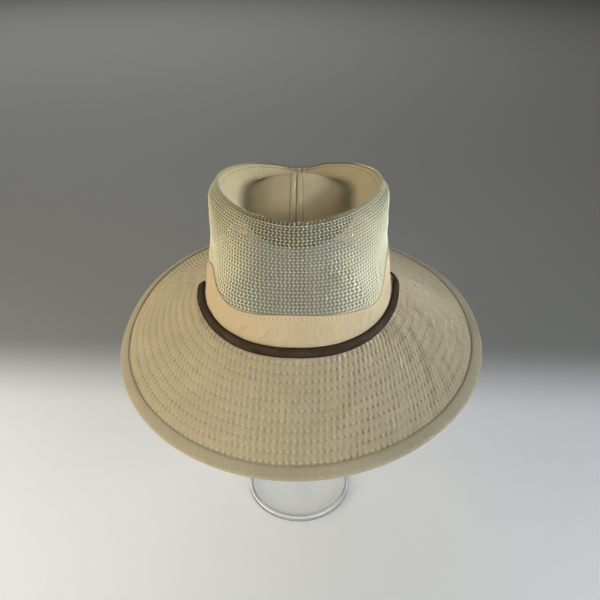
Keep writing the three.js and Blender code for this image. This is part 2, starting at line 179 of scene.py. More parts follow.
# Folds pressed into the cotton wall and the net: place, slant from level, depth, width and length
FOLD_COLUMNS = "azimuth height slant depth width length"
FOLD_LENGTHS = "height depth width length"
COTTON_FOLDS = table(
    FOLD_COLUMNS,
    [
        (347, 16, 52, 1.2, 1.8, 8),
        (341, 20, 47, -0.9, 1.6, 7),
        (336, 17, 45, 1.0, 1.8, 8),
        (328, 12, 30, 0.8, 2.2, 10),
        (355, 14, 60, 0.8, 2.0, 7),
        (9, 17, 120, 0.7, 2.2, 8),
        (30, 20, 100, 1.1, 2.0, 8),
        (35, 17, 80, -0.9, 1.8, 8),
        (45, 22, 95, 0.9, 2.4, 9),
        (75, 20, 120, 0.5, 2.6, 12),
        (200, 18, 40, 0.5, 2.6, 12),
        (280, 17, 60, 0.5, 2.6, 12),
    ],
    FOLD_LENGTHS,
)
NET_FOLDS = table(
    FOLD_COLUMNS,
    [
        (343, 53, 40, 2.2, 4.5, 24),
        (29, 47, 115, 2.1, 4.0, 14),
        (17, 68, 148, 1.4, 4.0, 18),
        (0, 62, 0, -2.0, 13.0, 16),
        (44, 46, 95, 0.9, 2.6, 14),
        (51, 42, 85, -0.8, 2.8, 12),
        (37, 44, 104, -0.6, 2.4, 12),
        (315, 56, 20, 0.9, 4.0, 18),
        (322, 46, 35, -0.7, 3.0, 14),
        (300, 62, 12, 0.7, 3.6, 20),
        (80, 66, 170, 0.6, 4.0, 22),
        (150, 55, 30, 0.8, 4.5, 22),
        (215, 58, 150, 0.8, 4.5, 22),
    ],
    FOLD_LENGTHS,
)


# Curves through tables

def hermite(x, y, slope, at):
    """Smooth curve through points, with the slope at each."""
    i = np.clip(np.searchsorted(x, at, side="right") - 1, 0, len(x) - 2)
    width = x[i + 1] - x[i]
    t = (at - x[i]) / width
    rise = t * t * (3 - 2 * t)
    lead = t * (1 - t) ** 2 * width
    tail = t * t * (t - 1) * width
    return y[i] * (1 - rise) + y[i + 1] * rise + slope[i] * lead + slope[i + 1] * tail


def turned(rows, column):
    """Azimuths and values of a closed table, carried on past either end."""
    x = rows["azimuth"]
    y = rows[column]
    return np.concatenate([x[-2:] - TURN, x, x[:2] + TURN]), np.concatenate([y[-2:], y, y[:2]])


def around(rows, column, azimuth):
    """A column of a closed table at an azimuth, smooth all round."""
    x, y = turned(rows, column)
    slope = (y[2:] - y[:-2]) / (x[2:] - x[:-2])
    return hermite(x[1:-1], y[1:-1], slope, np.mod(azimuth, TURN))


def straight_around(rows, column, azimuth):
    """A column of a closed table at an azimuth, with straight lines from row to row."""
    return np.interp(np.mod(azimuth, TURN), *turned(rows, column))


def up_crown(column, share):
    """A column of the crown's sections at a share of its height."""
    x = CROWN_SECTIONS["share"]
    y = CROWN_SECTIONS[column]
    before = np.maximum(np.arange(len(x)) - 1, 0)
    after = np.minimum(np.arange(len(x)) + 1, len(x) - 1)
    return hermite(x, y, (y[after] - y[before]) / (x[after] - x[before]), share)


def smoothstep(low, high, x):
    t = np.clip((x - low) / (high - low), 0, 1)
    return t * t * (3 - 2 * t)


def mix(a, b, share):
    return a + (b - a) * share


def bell(x, width):
    """One at the middle, falling off on both sides."""
    return np.exp(-(x / width) ** 2)


def turned_from(azimuth, start):
    """Angle from one azimuth to another, at most half a turn either way."""
    return np.mod(azimuth - start + TURN / 2, TURN) - TURN / 2


def unit(vectors):
    return vectors / np.linalg.norm(vectors, axis=-1, keepdims=True)


def waves(azimuth, along, seed, count=14, turns=(3, 19), pitch=(14 * MM, 60 * MM)):
    """Soft unevenness between about -1 and 1, closed all round."""
    draw = np.random.default_rng(seed)
    total = 0.0
    for _ in range(count):
        number = draw.integers(*turns)
        angle = np.radians(azimuth) * number + draw.uniform(0, math.tau)
        total = total + np.sin(angle + math.tau * along / draw.uniform(*pitch))
    return total / math.sqrt(count)


def rumples(x, y, seed, pitch, count=12):
    """Soft unevenness between about -1 and 1 over a sheet seen from above."""
    draw = np.random.default_rng(seed)
    total = 0.0
    for _ in range(count):
        heading = draw.uniform(0, math.tau)
        along = (x * math.cos(heading) + y * math.sin(heading)) / draw.uniform(*pitch)
        total = total + np.sin(math.tau * along + draw.uniform(0, math.tau))
    return total / math.sqrt(count)


# Shape of the hat

def outwards(azimuth):
    """Level direction outwards at an azimuth."""
    angle = np.radians(azimuth)
    return np.stack([np.sin(angle), -np.cos(angle), np.zeros_like(angle)], axis=-1)


def upwards(azimuth):
    return np.broadcast_to([0.0, 0.0, 1.0], np.shape(azimuth) + (3,))


def rim_height(azimuth):
    return around(RIM_HEIGHTS, "height", azimuth)


def cotton_share(azimuth):
    """Share of the crown's height at the seam of cotton and net."""
    return around(COTTON_TOPS, "height", azimuth) / rim_height(azimuth)


def crown_radius(azimuth, share):
    """Distance of the crown's outside from its middle line."""
    angle = np.radians(azimuth)
    forward = np.cos(angle)
    length = np.where(forward > 0, up_crown("front", share), up_crown("back", share))
    power = 2 + (up_crown("power", share) - 2) * smoothstep(0, FRONT_BLEND, forward)
    sideways = np.abs(np.sin(angle)) / up_crown("half_width", share)
    lengthways = np.abs(forward) / length
    radius = (sideways ** power + lengthways ** power) ** (-1 / power)
    for start, middle, depth, turn, rise in zip(*CROWN_DENTS.values()):
        radius = radius - depth * bell(turned_from(azimuth, start), turn) * bell(share - middle, rise)
    return radius


def crown_point(azimuth, share, proud=0.0):
    """Point on the crown's outside, moved out by a distance."""
    azimuth, share, proud = np.broadcast_arrays(np.asarray(azimuth, float), share, proud)
    point = outwards(azimuth) * (crown_radius(azimuth, share) + proud)[..., None]
    point[..., 1] += up_crown("shift", share)
    point[..., 2] = BRIM_HEIGHT + share * rim_height(azimuth)
    return point


def square_to(surface, azimuth, share):
    """Direction square to a surface that is given by azimuth and share."""
    turn = 0.25
    step = 0.004
    across = surface(azimuth + turn, share) - surface(azimuth - turn, share)
    along = surface(azimuth, np.minimum(share + step, 1)) - surface(azimuth, np.maximum(share - step, 0))
    return unit(np.cross(across, along))


def rim_seam_direction(azimuth):
    return unit(outwards(azimuth) * RIM_SEAM_OUT + upwards(azimuth) * RIM_SEAM_UP)


def brim_place(azimuth, distance):
    """Point on the brim at a distance out from the crown, and the direction square to the cloth."""
    azimuth, distance = np.broadcast_arrays(np.asarray(azimuth, float), distance)
    inner = np.radians(around(BRIM_SLOPES, "inner", azimuth))
    outer = np.radians(around(BRIM_SLOPES, "outer", azimuth))
    turn_up = np.radians(around(BRIM_SLOPES, "turn_up", azimuth))
    bound = np.maximum(distance - HEM_DISTANCE, 0)
    unbound = distance - bound
    slope = mix(inner, outer, unbound / HEM_DISTANCE)
    half = (slope - inner) / 2
    chord = unbound * np.sinc(half / math.pi)
    here = slope - np.where(bound > 0, turn_up, 0)
    out = chord * np.cos(inner + half) + bound * np.cos(here)
    point = crown_point(azimuth, 0.0, SEAM_GAP + out)
    point[..., 2] -= chord * np.sin(inner + half) + bound * np.sin(here)
    square = outwards(azimuth) * np.sin(here)[..., None] + upwards(azimuth) * np.cos(here)[..., None]
    return point, square


def cushion_height(x, y):
    forward = np.maximum(CUSHION_BACK - y, 0)
    return CUSHION_HEIGHT - CUSHION_FALL * forward ** 2 - CUSHION_SIDE_FALL * x ** 2


def tip_point(azimuth, share):
    """Point on the tip's upper side: share 0 is the rim seam, the crease follows, 1 is the middle."""
    azimuth, share = np.broadcast_arrays(np.asarray(azimuth, float), share)
    rim = crown_point(azimuth, 1.0, -COTTON_PROUD)
    inset = TIP_INSET / np.hypot(rim[..., 0], rim[..., 1] - TIP_MIDDLE_BACK)
    crease = around(TIP_CREASES, "crease", azimuth)
    to_crease = np.minimum(share / TIP_CREASE_ROW, 1)
    past_crease = np.maximum((share - TIP_CREASE_ROW) / (1 - TIP_CREASE_ROW), 0)
    way = mix(mix(inset, crease, to_crease), 1, past_crease)
    x = rim[..., 0] * (1 - way)
    y = mix(rim[..., 1], TIP_MIDDLE_BACK, way)
    sunk = rim[..., 2] - around(TIP_CREASES, "drop", azimuth) * to_crease ** TIP_WALL_BEND
    flank = np.clip((way - crease) / CUSHION_FLANK, 0, 1)
    up_flank = 1 - (1 - flank) ** CUSHION_FLANK_BEND
    cushion = BRIM_HEIGHT + cushion_height(x, y)
    height = np.where(past_crease > 0, mix(sunk, cushion, up_flank), sunk)
    return np.stack([x, y, height], axis=-1)


def tip_place(x, y):
    """Azimuth and share of the tip's point at a place in plan."""
    azimuths = np.linspace(0, TURN, 721)
    rim = crown_point(azimuths, 1.0, -COTTON_PROUD)
    heading = np.unwrap(np.arctan2(rim[:, 0], TIP_MIDDLE_BACK - rim[:, 1]))
    reach = np.hypot(rim[:, 0], rim[:, 1] - TIP_MIDDLE_BACK)
    towards = np.mod(np.arctan2(x, TIP_MIDDLE_BACK - y), math.tau)
    azimuth = np.interp(towards, heading, azimuths)
    way = 1 - np.hypot(x, y - TIP_MIDDLE_BACK) / np.interp(towards, heading, reach)
    inset = TIP_INSET / np.interp(towards, heading, reach)
    crease = around(TIP_CREASES, "crease", azimuth)
    to_crease = TIP_CREASE_ROW * (way - inset) / (crease - inset)
    past_crease = mix(TIP_CREASE_ROW, 1, (way - crease) / (1 - crease))
    return azimuth, np.clip(np.where(way < crease, to_crease, past_crease), 0, 1)


# Meshes from arrays

def join(*parts):
    """Several lots of points and faces as one."""
    points = np.concatenate([part[0] for part in parts])
    starts = np.cumsum([0] + [len(part[0]) for part in parts[:-1]])
    faces = [np.asarray(lot) + start for part, start in zip(parts, starts) for lot in part[1]]
    return points, faces


def volume(points, faces):
    """Six times the volume inside faces, with a sign for the side that they face."""
    total = 0.0
    for lot in faces:
        for k in range(1, lot.shape[1] - 1):
            a, b, c = (points[lot[:, i]] for i in (0, k, k + 1))
            total += np.einsum("ij,ij->", a, np.cross(b, c))
    return total


def mesh_of(name, points, faces, maps=None, sharp=60):
    """A mesh of faces with any number of corners, smooth apart from sharp edges; maps hold a UV a corner."""
    inside_out = volume(points - points.mean(0), faces) < 0
    mesh = bpy.data.meshes.new(name)
    mesh.vertices.add(len(points))
    mesh.vertices.foreach_set("co", points.astype(np.float32).ravel())
    lots = [lot[:, ::-1] if inside_out else lot for lot in faces]
    corners = np.concatenate([lot.ravel() for lot in lots]).astype(np.int32)
    sizes = np.concatenate([np.full(len(lot), lot.shape[1]) for lot in lots])
    mesh.loops.add(len(corners))
    mesh.loops.foreach_set("vertex_index", corners)
    mesh.polygons.add(len(sizes))
    mesh.polygons.foreach_set("loop_start", (np.cumsum(sizes) - sizes).astype(np.int32))
    for label, places in (maps or {}).items():
        turned_lots = [lot[:, ::-1] if inside_out else lot for lot in places]
        layer = mesh.uv_layers.new(name=label)
        flat = np.concatenate([lot.reshape(-1) for lot in turned_lots])
        layer.data.foreach_set("uv", flat.astype(np.float32))
    mesh.update(calc_edges=True)
    mesh.polygons.foreach_set("use_smooth", np.ones(len(sizes), bool))
    mesh.set_sharp_from_angle(angle=math.radians(sharp))
    return mesh


def quad_grid(turns, size, closed=True):
    """Corners of the quads over a row of closed sections, as steps around and along."""
    spans = turns if closed else turns - 1
    a, s = np.meshgrid(np.arange(spans), np.arange(size), indexing="ij")
    around_steps = np.stack([a, a + 1, a + 1, a], -1).reshape(-1, 4)
    along_steps = np.stack([s, s, s + 1, s + 1], -1).reshape(-1, 4)
    return around_steps, along_steps


def skin(sections, cloth, closed=True):
    """Points, faces and cloth places over sections; cloth has one more row and column if they close."""
    turns, size = sections.shape[:2]
    a, s = quad_grid(turns, size, closed)
    quads = (a % turns) * size + s % size
    faces = [quads]
    places = [cloth[a, s]]
    if not closed:
        ends = np.array([np.arange(size), (turns - 1) * size + np.arange(size)[::-1]])
        faces.append(ends)
        places.append(cloth.reshape(-1, 2)[ends // size * cloth.shape[1] + ends % size])
    return sections.reshape(-1, 3), faces, places


def strip_places(azimuth_places, along_places):
    """Cloth places of a strip that runs around the hat."""
    u, v = np.meshgrid(azimuth_places, along_places, indexing="ij")
    return np.stack([u, v], -1)


def running_length(points):
    """Length along points from the first, summed along the last but one axis."""
    steps = np.linalg.norm(np.diff(points, axis=-2), axis=-1)
    start = np.zeros(steps.shape[:-1] + (1,))
    return np.concatenate([start, np.cumsum(steps, axis=-1)], axis=-1)


def add_piece(mesh, finish, replaced=()):
    """Puts a mesh in the scene as a piece of the hat on its stand."""
    piece = bpy.data.objects.new(mesh.name, mesh)
    bpy.context.scene.collection.objects.link(piece)
    mesh.materials.append(finish)
    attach(piece, "root")
    if replaced:
        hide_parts(*replaced)


# Stitches

STITCH_RINGS = table(
    "along girth lift",
    [(-0.5, 0.35, -0.7), (-0.36, 0.85, 0.05), (0.0, 1.0, 0.3), (0.36, 0.85, 0.05), (0.5, 0.35, -0.7)],
)
STITCH_SIDES = 6
STITCH_SHARE = 0.78
PATH_STEPS = 1440


def stitches_along(path, length, width, share, count=None):
    """Threads sewn along a path: path(t) gives points and upward directions for t from 0 to 1."""
    t = np.linspace(0, 1, PATH_STEPS + 1)
    run = running_length(path(t)[0])
    number = count or max(round(run[-1] / length), 1)
    middles = np.arange(number) + 0.5
    counted = (middles[:, None] + STITCH_RINGS["along"] * share) / number
    points, ups = path(np.interp(counted * run[-1], run, t))
    return threads(points, ups, width, STITCH_RINGS)


def threads(points, ups, width, rings):
    """Short round threads, each through a row of points, with the girth and lift of each ring."""
    number, size = points.shape[:2]
    forward = unit(np.gradient(points, axis=1))
    side = unit(np.cross(forward, ups))
    ups = np.cross(side, forward)
    radius = width / 2
    centre = points + ups * (rings["lift"] * radius)[None, :, None]
    turn = math.tau * np.arange(STITCH_SIDES) / STITCH_SIDES
    girth = (rings["girth"] * radius)[None, :, None, None]
    ring = side[:, :, None] * np.cos(turn)[:, None] + ups[:, :, None] * np.sin(turn)[:, None]
    a, s = quad_grid(size, STITCH_SIDES, closed=False)
    quads = a * STITCH_SIDES + s % STITCH_SIDES
    first = np.arange(STITCH_SIDES)
    caps = np.array([first, (size - 1) * STITCH_SIDES + first[::-1]])
    starts = (np.arange(number) * size * STITCH_SIDES)[:, None, None]
    faces = [(quads + starts).reshape(-1, 4), (caps + starts).reshape(-1, STITCH_SIDES)]
    return (centre[:, :, None] + ring * girth).reshape(-1, 3), faces


RIPPLE_UNEVEN = 0.4
PUFF_UNEVEN = 0.35
PUFF_BEND = 0.8
GROOVE_WIDTH = 0.9 * MM
CROWN_EASE = 3 * MM
HEM_EASE = 1 * MM
HEM_DIP_INSET = 0.3 * MM
HEM_DIP_WIDTH = 0.6 * MM


class Quilting:
    """The brim's stitched rows: where each runs, and how it draws the cloth in."""

    def __init__(self, settings):
        self.settings = settings
        rows = settings.first_row + settings.row_spacing * np.arange(settings.row_count)
        self.rows = np.append(rows, HEM_DISTANCE - settings.hem_row)
        azimuth = np.linspace(0, TURN, PATH_STEPS + 1)
        run = running_length(brim_place(azimuth[None, :], self.rows[:, None])[0])
        self.counts = np.round(run[:, -1] / settings.stitch_length).astype(int)
        self.phases = run / run[:, -1:] * self.counts[:, None]

    def nearest(self, distance):
        return np.abs(np.asarray(distance)[..., None] - self.rows).argmin(-1)

    def phase(self, row, azimuth):
        """Stitches counted along a row from the front."""
        place = np.asarray(azimuth) / TURN * PATH_STEPS
        low = np.clip(np.floor(place).astype(int), 0, PATH_STEPS - 1)
        return mix(self.phases[row, low], self.phases[row, low + 1], place - low)

    def ripple(self, azimuth, distance):
        """Ridges from one row's stitches to the next row's, which lean with the grain of the cloth."""
        low = np.clip(np.searchsorted(self.rows, distance) - 1, 0, len(self.rows) - 2)
        way = np.clip((distance - self.rows[low]) / (self.rows[low + 1] - self.rows[low]), 0, 1)
        turned_by = np.mod(azimuth, TURN)
        lean = self.settings.ripple_lean * np.sin(2 * np.radians(azimuth))
        near = np.cos(math.tau * (self.phase(low, turned_by) + lean * way))
        far = np.cos(math.tau * (self.phase(low + 1, turned_by) + lean * (way - 1)))
        uneven = 1 + RIPPLE_UNEVEN * waves(azimuth, distance, 7, turns=(11, 70), pitch=(9 * MM, 40 * MM))
        return around(BRIM_RIPPLES, "strength", azimuth) * uneven * mix(near, far, smoothstep(0, 1, way))

    def lift(self, azimuth, distance):
        """Height of the cloth over the plain brim: swollen between rows, drawn in at each stitch."""
        settings = self.settings
        azimuth, distance = np.broadcast_arrays(np.asarray(azimuth, float), distance)
        off = distance - self.rows[self.nearest(distance)]
        apart = np.minimum(np.abs(off) / (settings.row_spacing / 2), 1)
        uneven = waves(azimuth, distance, 5, turns=(9, 60), pitch=(8 * MM, 30 * MM))
        puffed = settings.puff * np.sin(apart * math.pi / 2) ** PUFF_BEND * (1 + PUFF_UNEVEN * uneven)
        groove = settings.groove * bell(off, GROOVE_WIDTH)
        lift = puffed - groove - settings.pucker * self.ripple(azimuth, distance)
        lift = lift + settings.unevenness * waves(azimuth, distance, 8)
        at_hem = smoothstep(HEM_DISTANCE - HEM_EASE, HEM_DISTANCE, distance)
        ease = smoothstep(0, CROWN_EASE, distance) * (1 - at_hem)
        return lift * ease - settings.hem_dip * bell(distance - HEM_DISTANCE + HEM_DIP_INSET, HEM_DIP_WIDTH)

    def top(self, azimuth, distance):
        point, square = brim_place(azimuth, distance)
        return point + square * self.lift(azimuth, distance)[..., None], square

    def underside(self, azimuth, distance):
        point, square = brim_place(azimuth, distance)
        depth = BRIM_THICKNESS + self.lift(azimuth, distance)
        return point - square * depth[..., None], -square


# Finishes

def dyed(red, green, blue):
    """A colour as it looks on a screen, from 0 to 255, as light that Blender counts with."""
    seen = np.array([red, green, blue]) / 255
    light = np.where(seen <= 0.04045, seen / 12.92, ((seen + 0.055) / 1.055) ** 2.4)
    return (*light.tolist(), 1.0)


class Field:
    """A number or colour over a surface: a shader socket that can stand in sums and products."""

    def __init__(self, finish, socket):
        self.finish = finish
        self.socket = socket

    def math(self, operation, *values):
        return self.finish.node("ShaderNodeMath", {"operation": operation}, dict(enumerate(values)))

    def __add__(self, other):
        return self.math("ADD", self, other)

    def __radd__(self, other):
        return self.math("ADD", other, self)

    def __sub__(self, other):
        return self.math("SUBTRACT", self, other)

    def __rsub__(self, other):
        return self.math("SUBTRACT", other, self)

    def __mul__(self, other):
        return self.math("MULTIPLY", self, other)

    def __rmul__(self, other):
        return self.math("MULTIPLY", other, self)

    def __truediv__(self, other):
        return self.math("DIVIDE", self, other)

    def __pow__(self, other):
        return self.math("POWER", self, other)

    def sine(self):
        return self.math("SINE", self)

    def size(self):
        return self.math("ABSOLUTE", self)

    def from_whole(self):
        """Distance to the nearest whole number."""
        return (self.math("FRACT", self + 0.5) - 0.5).size()

    def rise(self, low, high, start=0.0, end=1.0):
        """Smooth step from start to end as the number goes from low to high."""
        places = {"Value": self, "From Min": low, "From Max": high, "To Min": start, "To Max": end}
        return self.finish.node("ShaderNodeMapRange", {"interpolation_type": "SMOOTHSTEP"}, places)


NOISE_ROUGHNESS = 0.55
COTTON_SHEEN = {"Specular_IOR_Level": 0.25, "Sheen_Weight": 0.12, "Sheen_Roughness": 0.5}


class Finish:
    """A material whose nodes are written as expressions."""

    def __init__(self, name):
        self.material = bpy.data.materials.new(name)
        self.material.use_nodes = True
        self.tree = self.material.node_tree
        self.shader = self.tree.nodes["Principled BSDF"]

    def node(self, kind, settings=None, inputs=None, output=0):
        """Adds a node: its settings first, then values or links for its sockets; gives one output."""
        made = self.tree.nodes.new(kind)
        for name, value in (settings or {}).items():
            setattr(made, name, value)
        for name, value in (inputs or {}).items():
            self.join(made.inputs[name], value)
        return Field(self, made.outputs[output])

    def join(self, socket, value):
        if isinstance(value, Field):
            self.tree.links.new(value.socket, socket)
        else:
            socket.default_value = value

    def surface(self, **sockets):
        """Sets the shader's sockets, with _ for the spaces in their names."""
        for name, value in sockets.items():
            self.join(self.shader.inputs[name.replace("_", " ")], value)
        return self.material

    def cloth_map(self, label="cloth"):
        """The two places on the cloth, in metres, and the vector that they come from."""
        vector = self.node("ShaderNodeUVMap", {"uv_map": label})
        return vector, self.axis(vector, "X"), self.axis(vector, "Y")

    def axis(self, vector, letter):
        return self.node("ShaderNodeSeparateXYZ", {}, {"Vector": vector}, letter)

    def position(self):
        return self.node("ShaderNodeTexCoord", {}, {}, "Object")

    def noise(self, vector, scale, detail):
        places = {"Vector": vector, "Scale": scale, "Detail": detail, "Roughness": NOISE_ROUGHNESS}
        return self.node("ShaderNodeTexNoise", {}, places)

    def stretched(self, vector, x, y, z=1.0):
        return self.node("ShaderNodeVectorMath", {"operation": "MULTIPLY"}, {0: vector, 1: (x, y, z)})

    def blend(self, a, b, share):
        """Colour a where share is 0 and colour b where it is 1."""
        return self.node("ShaderNodeMix", {"data_type": "RGBA"}, {0: share, 6: a, 7: b}, 2)

    def shade(self, colour, brightness):
        """A colour made lighter or darker by a number."""
        grey = self.node("ShaderNodeCombineColor", {}, {0: brightness, 1: brightness, 2: brightness})
        return self.node("ShaderNodeMix", {"data_type": "RGBA", "blend_type": "MULTIPLY"},
                         {0: 1.0, 6: colour, 7: grey}, 2)

    def bump(self, height, distance, strength=1.0):
        return self.node("ShaderNodeBump", {}, {"Strength": strength, "Distance": distance, "Height": height})


def woven(finish, colour, pitch, slant, contrast):
    """Colour and height of woven cloth: yarns at a pitch, slanting lines for twill, and uneven dye."""
    vector, u, v = finish.cloth_map()
    place = finish.position()
    yarn = math.tau / pitch
    lines = ((u + v * slant) * yarn).sine()
    crossing = ((u * slant - v) * (yarn * 0.9)).sine()
    uneven = finish.noise(finish.stretched(vector, 1.0, 1.0), 0.35 / pitch, 4.0)
    slubs = finish.noise(finish.stretched(vector, 1.0, 0.07), 0.5 / pitch, 2.0)
    clouds = finish.noise(place, 22.0, 3.0)
    height = lines * 0.30 + crossing * 0.16 + uneven * 0.9 + slubs * 0.45
    tone = 1 - contrast * 1.4 + clouds * contrast + slubs * contrast + uneven * contrast + lines * 0.035
    return finish.shade(colour, tone), height, clouds


def brim_finish(settings):
    """Khaki twill, with painted shade in the stitched grooves, at each needle hole and in the ripples'
    valleys, and painted light on the ripples' ridges.
    """
    finish = Finish("brim_twill")
    colour, height, clouds = woven(finish, tuple(settings.cloth_colour), 0.75 * MM, 0.6, 0.26)
    _, phase, off = finish.cloth_map("stitch_rows")
    spread = off.size()
    # Painted shade in the stitched grooves, at the needle holes and in the ripples' valleys beside each row,
    # with painted light on the ridges; groove and hole also shape the bump.
    groove = spread.rise(0.0, 0.28, 1.0, 0.0)
    to_hole = phase.from_whole()
    hole = to_hole.rise(0.02, 0.15, 1.0, 0.0) * spread.rise(0.02, 0.12, 1.0, 0.0)
    painted_ripple_shade = ((phase + 0.25) * math.tau).sine() * spread.rise(0.1, 0.42, 1.0, 0.0)
    colour = finish.shade(colour, 1 - groove * 0.04 - hole * 0.2 - painted_ripple_shade * 0.07)
    relief = height * 0.4 - hole * 0.9 - groove * 0.15
    return finish.surface(
        Base_Color=colour,
        Roughness=0.86 + clouds * 0.08,
        Normal=finish.bump(relief, 0.35 * MM),
        **COTTON_SHEEN,
    )


def cloth_finish(name, colour, pitch, slant, bump, grain, sewn=False):
    """Plain woven cotton, with painted shade at the needle holes where a row is sewn."""
    finish = Finish(name)
    shaded, height, clouds = woven(finish, tuple(colour), pitch, slant, grain)
    if sewn:
        _, phase, off = finish.cloth_map("stitch_row")
        to_hole = phase.from_whole()
        hole = to_hole.rise(0.08, 0.3, 1.0, 0.0) * off.size().rise(0.3 * MM, 0.9 * MM, 1.0, 0.0)
        # Painted shade at each needle hole of the sewn row.
        shaded = finish.shade(shaded, 1 - hole * 0.3)
    return finish.surface(
        Base_Color=shaded,
        Roughness=0.85 + clouds * 0.1,
        Normal=finish.bump(height, bump),
        **COTTON_SHEEN,
    )


def tip_finish(settings):
    """Cotton of the tip, with painted shade in its seam grooves, along its rim row, by the rim under the
    net's loops, in its crease and on its inner side.
    """
    finish = Finish("tip_cotton")
    colour, height, clouds = woven(finish, tuple(settings.tip_colour), 0.6 * MM, 0.0, 0.2)
    _, aside, _ = finish.cloth_map("seam")
    _, share, inward = finish.cloth_map("way")
    beside = (aside.size() - settings.strip_width).size()
    # Painted shade in the centre seam's groove and along the edges of the pressed strips beside it.
    seam = beside.rise(0.0, 0.8 * MM, 1.0, 0.0) * 0.4 + aside.size().rise(0.0, 0.9 * MM, 1.0, 0.0) * 0.6
    # Painted shade in the groove of the rim's topstitched row.
    sewn = (inward - settings.rim_row).size().rise(0.0, 1.1 * MM, 1.0, 0.0)
    # Painted shade in the tip's crease.
    fold = (share - TIP_CREASE_ROW).size().rise(0.0, 0.16, 1.0, 0.0)
    # Painted shade on the tip's inner side.
    inside = inward.rise(-TIP_INSIDE, 0.0, 1.0, 0.0)
    # Painted shade on the strip by the rim, under the net's loops.
    turned_in = inward.rise(1.2 * MM, 2.6 * MM, 1.0, 0.0)
    tone = (1 - seam) * (1 - sewn * 0.28) * (1 - fold * settings.fold_shade)
    tone = tone * (1 - inside * settings.inside_shade) * (1 - turned_in * 0.5)
    return finish.surface(
        Base_Color=finish.shade(colour, tone),
        Roughness=0.85 + clouds * 0.1,
        Normal=finish.bump(height, 0.1 * MM),
        **COTTON_SHEEN,
    )


def net_finish(settings):
    """Twisted yarn of the net, with a painted highlight along its crown, painted olive shade along its
    flanks, and painted shade near the middle, front and back.
    """
    finish = Finish("knitted_mesh")
    place = finish.position()
    clouds = finish.noise(place, 30.0, 3.0)
    fibres = finish.noise(finish.stretched(place, 1.0, 1.0, 0.35), 2600.0, 3.0)
    _, crown, _ = finish.cloth_map("yarn")
    # Painted highlight on the yarn's crests and painted shade on its flanks, broken up by the fibres.
    pale = crown.rise(0.05, 0.7) * (1 - fibres.rise(0.45, 0.75) * 0.5)
    yarn = finish.blend(tuple(settings.net_shade), tuple(settings.net_colour), pale)
    # Painted shade near the middle of the net, front and back, fading towards the sides.
    aside = finish.axis(place, "X").size()
    wear_and_painted_light = aside.rise(16 * MM, 54 * MM, settings.net_middle_shade, 0.0)
    return finish.surface(
        Base_Color=finish.shade(yarn, (0.88 + clouds * 0.24) * (1 - wear_and_painted_light)),
        Roughness=0.52 + fibres * 0.3,
        Normal=finish.bump(fibres, 0.25 * MM, 0.7),
        Specular_IOR_Level=0.4,
        Sheen_Weight=0.15,
    )


def thread_finish(name, colour):
    """Twisted sewing thread."""
    finish = Finish(name)
    twist = finish.noise(finish.position(), 1900.0, 2.0)
    return finish.surface(
        Base_Color=finish.shade(tuple(colour), 0.82 + twist * 0.34),
        Roughness=0.55 + twist * 0.25,
        Normal=finish.bump(twist, 0.12 * MM),
        Specular_IOR_Level=0.35,
    )


def leather_finish(settings):
    """Dark leather: pores and creases, lighter along the middle, partly as rubbed wear and partly as a
    painted highlight, darker along its edges.
    """
    finish = Finish("band_leather")
    vector, _, v = finish.cloth_map()
    pebbles = finish.node("ShaderNodeTexVoronoi", {"feature": "DISTANCE_TO_EDGE"},
                          {"Vector": vector, "Scale": 1 / settings.grain})
    creases = finish.noise(finish.stretched(vector, 0.35, 1.0), 900.0, 4.0)
    rubs = finish.noise(finish.stretched(vector, 0.5, 1.0), 110.0, 4.0)
    pores = pebbles.rise(0.0, 0.22)
    # Lighter along the middle: partly rubbed wear, partly a painted highlight on the band's face.
    middle = (v - BAND_HEIGHT / 2).size().rise(BAND_HEIGHT * 0.12, BAND_HEIGHT * 0.46, 1.0, 0.0)
    wear_and_painted_light = middle * rubs.rise(0.34, 0.62)
    colour = finish.blend(tuple(settings.leather_colour), tuple(settings.wear_and_highlight_colour), wear_and_painted_light)
    return finish.surface(
        Base_Color=finish.shade(colour, 0.72 + pores * 0.18 + creases * 0.22),
        Roughness=0.66 - wear_and_painted_light * 0.1 - pores * 0.06,
        Normal=finish.bump(pores * 0.7 + creases * 0.6, 0.16 * MM),
        Specular_IOR_Level=0.2,
    )


def acrylic_finish(settings, name, radius, low, high):
    """Clear polished acrylic: its faces hardly show, and its rim carries painted white highlight lines and
    painted grey shade lines in place of refraction and reflection.
    """
    finish = Finish(name)
    place = finish.position()
    out = finish.node("ShaderNodeVectorMath", {"operation": "LENGTH"},
                      {0: finish.stretched(place, 1.0, 1.0, 0.0)}, "Value")
    height = finish.axis(place, "Z")
    haze = finish.noise(place, 45.0, 3.0)
    scratches = finish.noise(finish.stretched(place, 1.0, 0.06), 700.0, 2.0)
    # Painted highlight lines along the rim's upper edge, painted shade lines along its lower edge and just
    # inside it.
    rim = out.rise(radius - settings.rim_line * 1.4, radius - settings.rim_line * 0.7)
    upper = height.rise(high - settings.rim_line * 0.8, high - settings.rim_line * 0.3)
    lower = height.rise(low + settings.rim_line * 0.3, low + settings.rim_line, 1.0, 0.0)
    inner = out.rise(radius - settings.rim_line * 3.2, radius - settings.rim_line * 2.6)
    inner = inner * out.rise(radius - settings.rim_line * 2.2, radius - settings.rim_line * 1.6, 1.0, 0.0)
    light = rim * upper
    dark = rim * lower + inner
    return finish.surface(
        Base_Color=finish.blend(tuple(settings.rim_shade), tuple(settings.tint), light),
        Roughness=settings.haze + haze * 0.05 + scratches.rise(0.68, 0.76) * 0.08,
        Alpha=settings.clearness + rim * 0.2 + light * 0.65 + dark * 0.5,
        IOR=1.49,
        Specular_IOR_Level=0.8,
    )


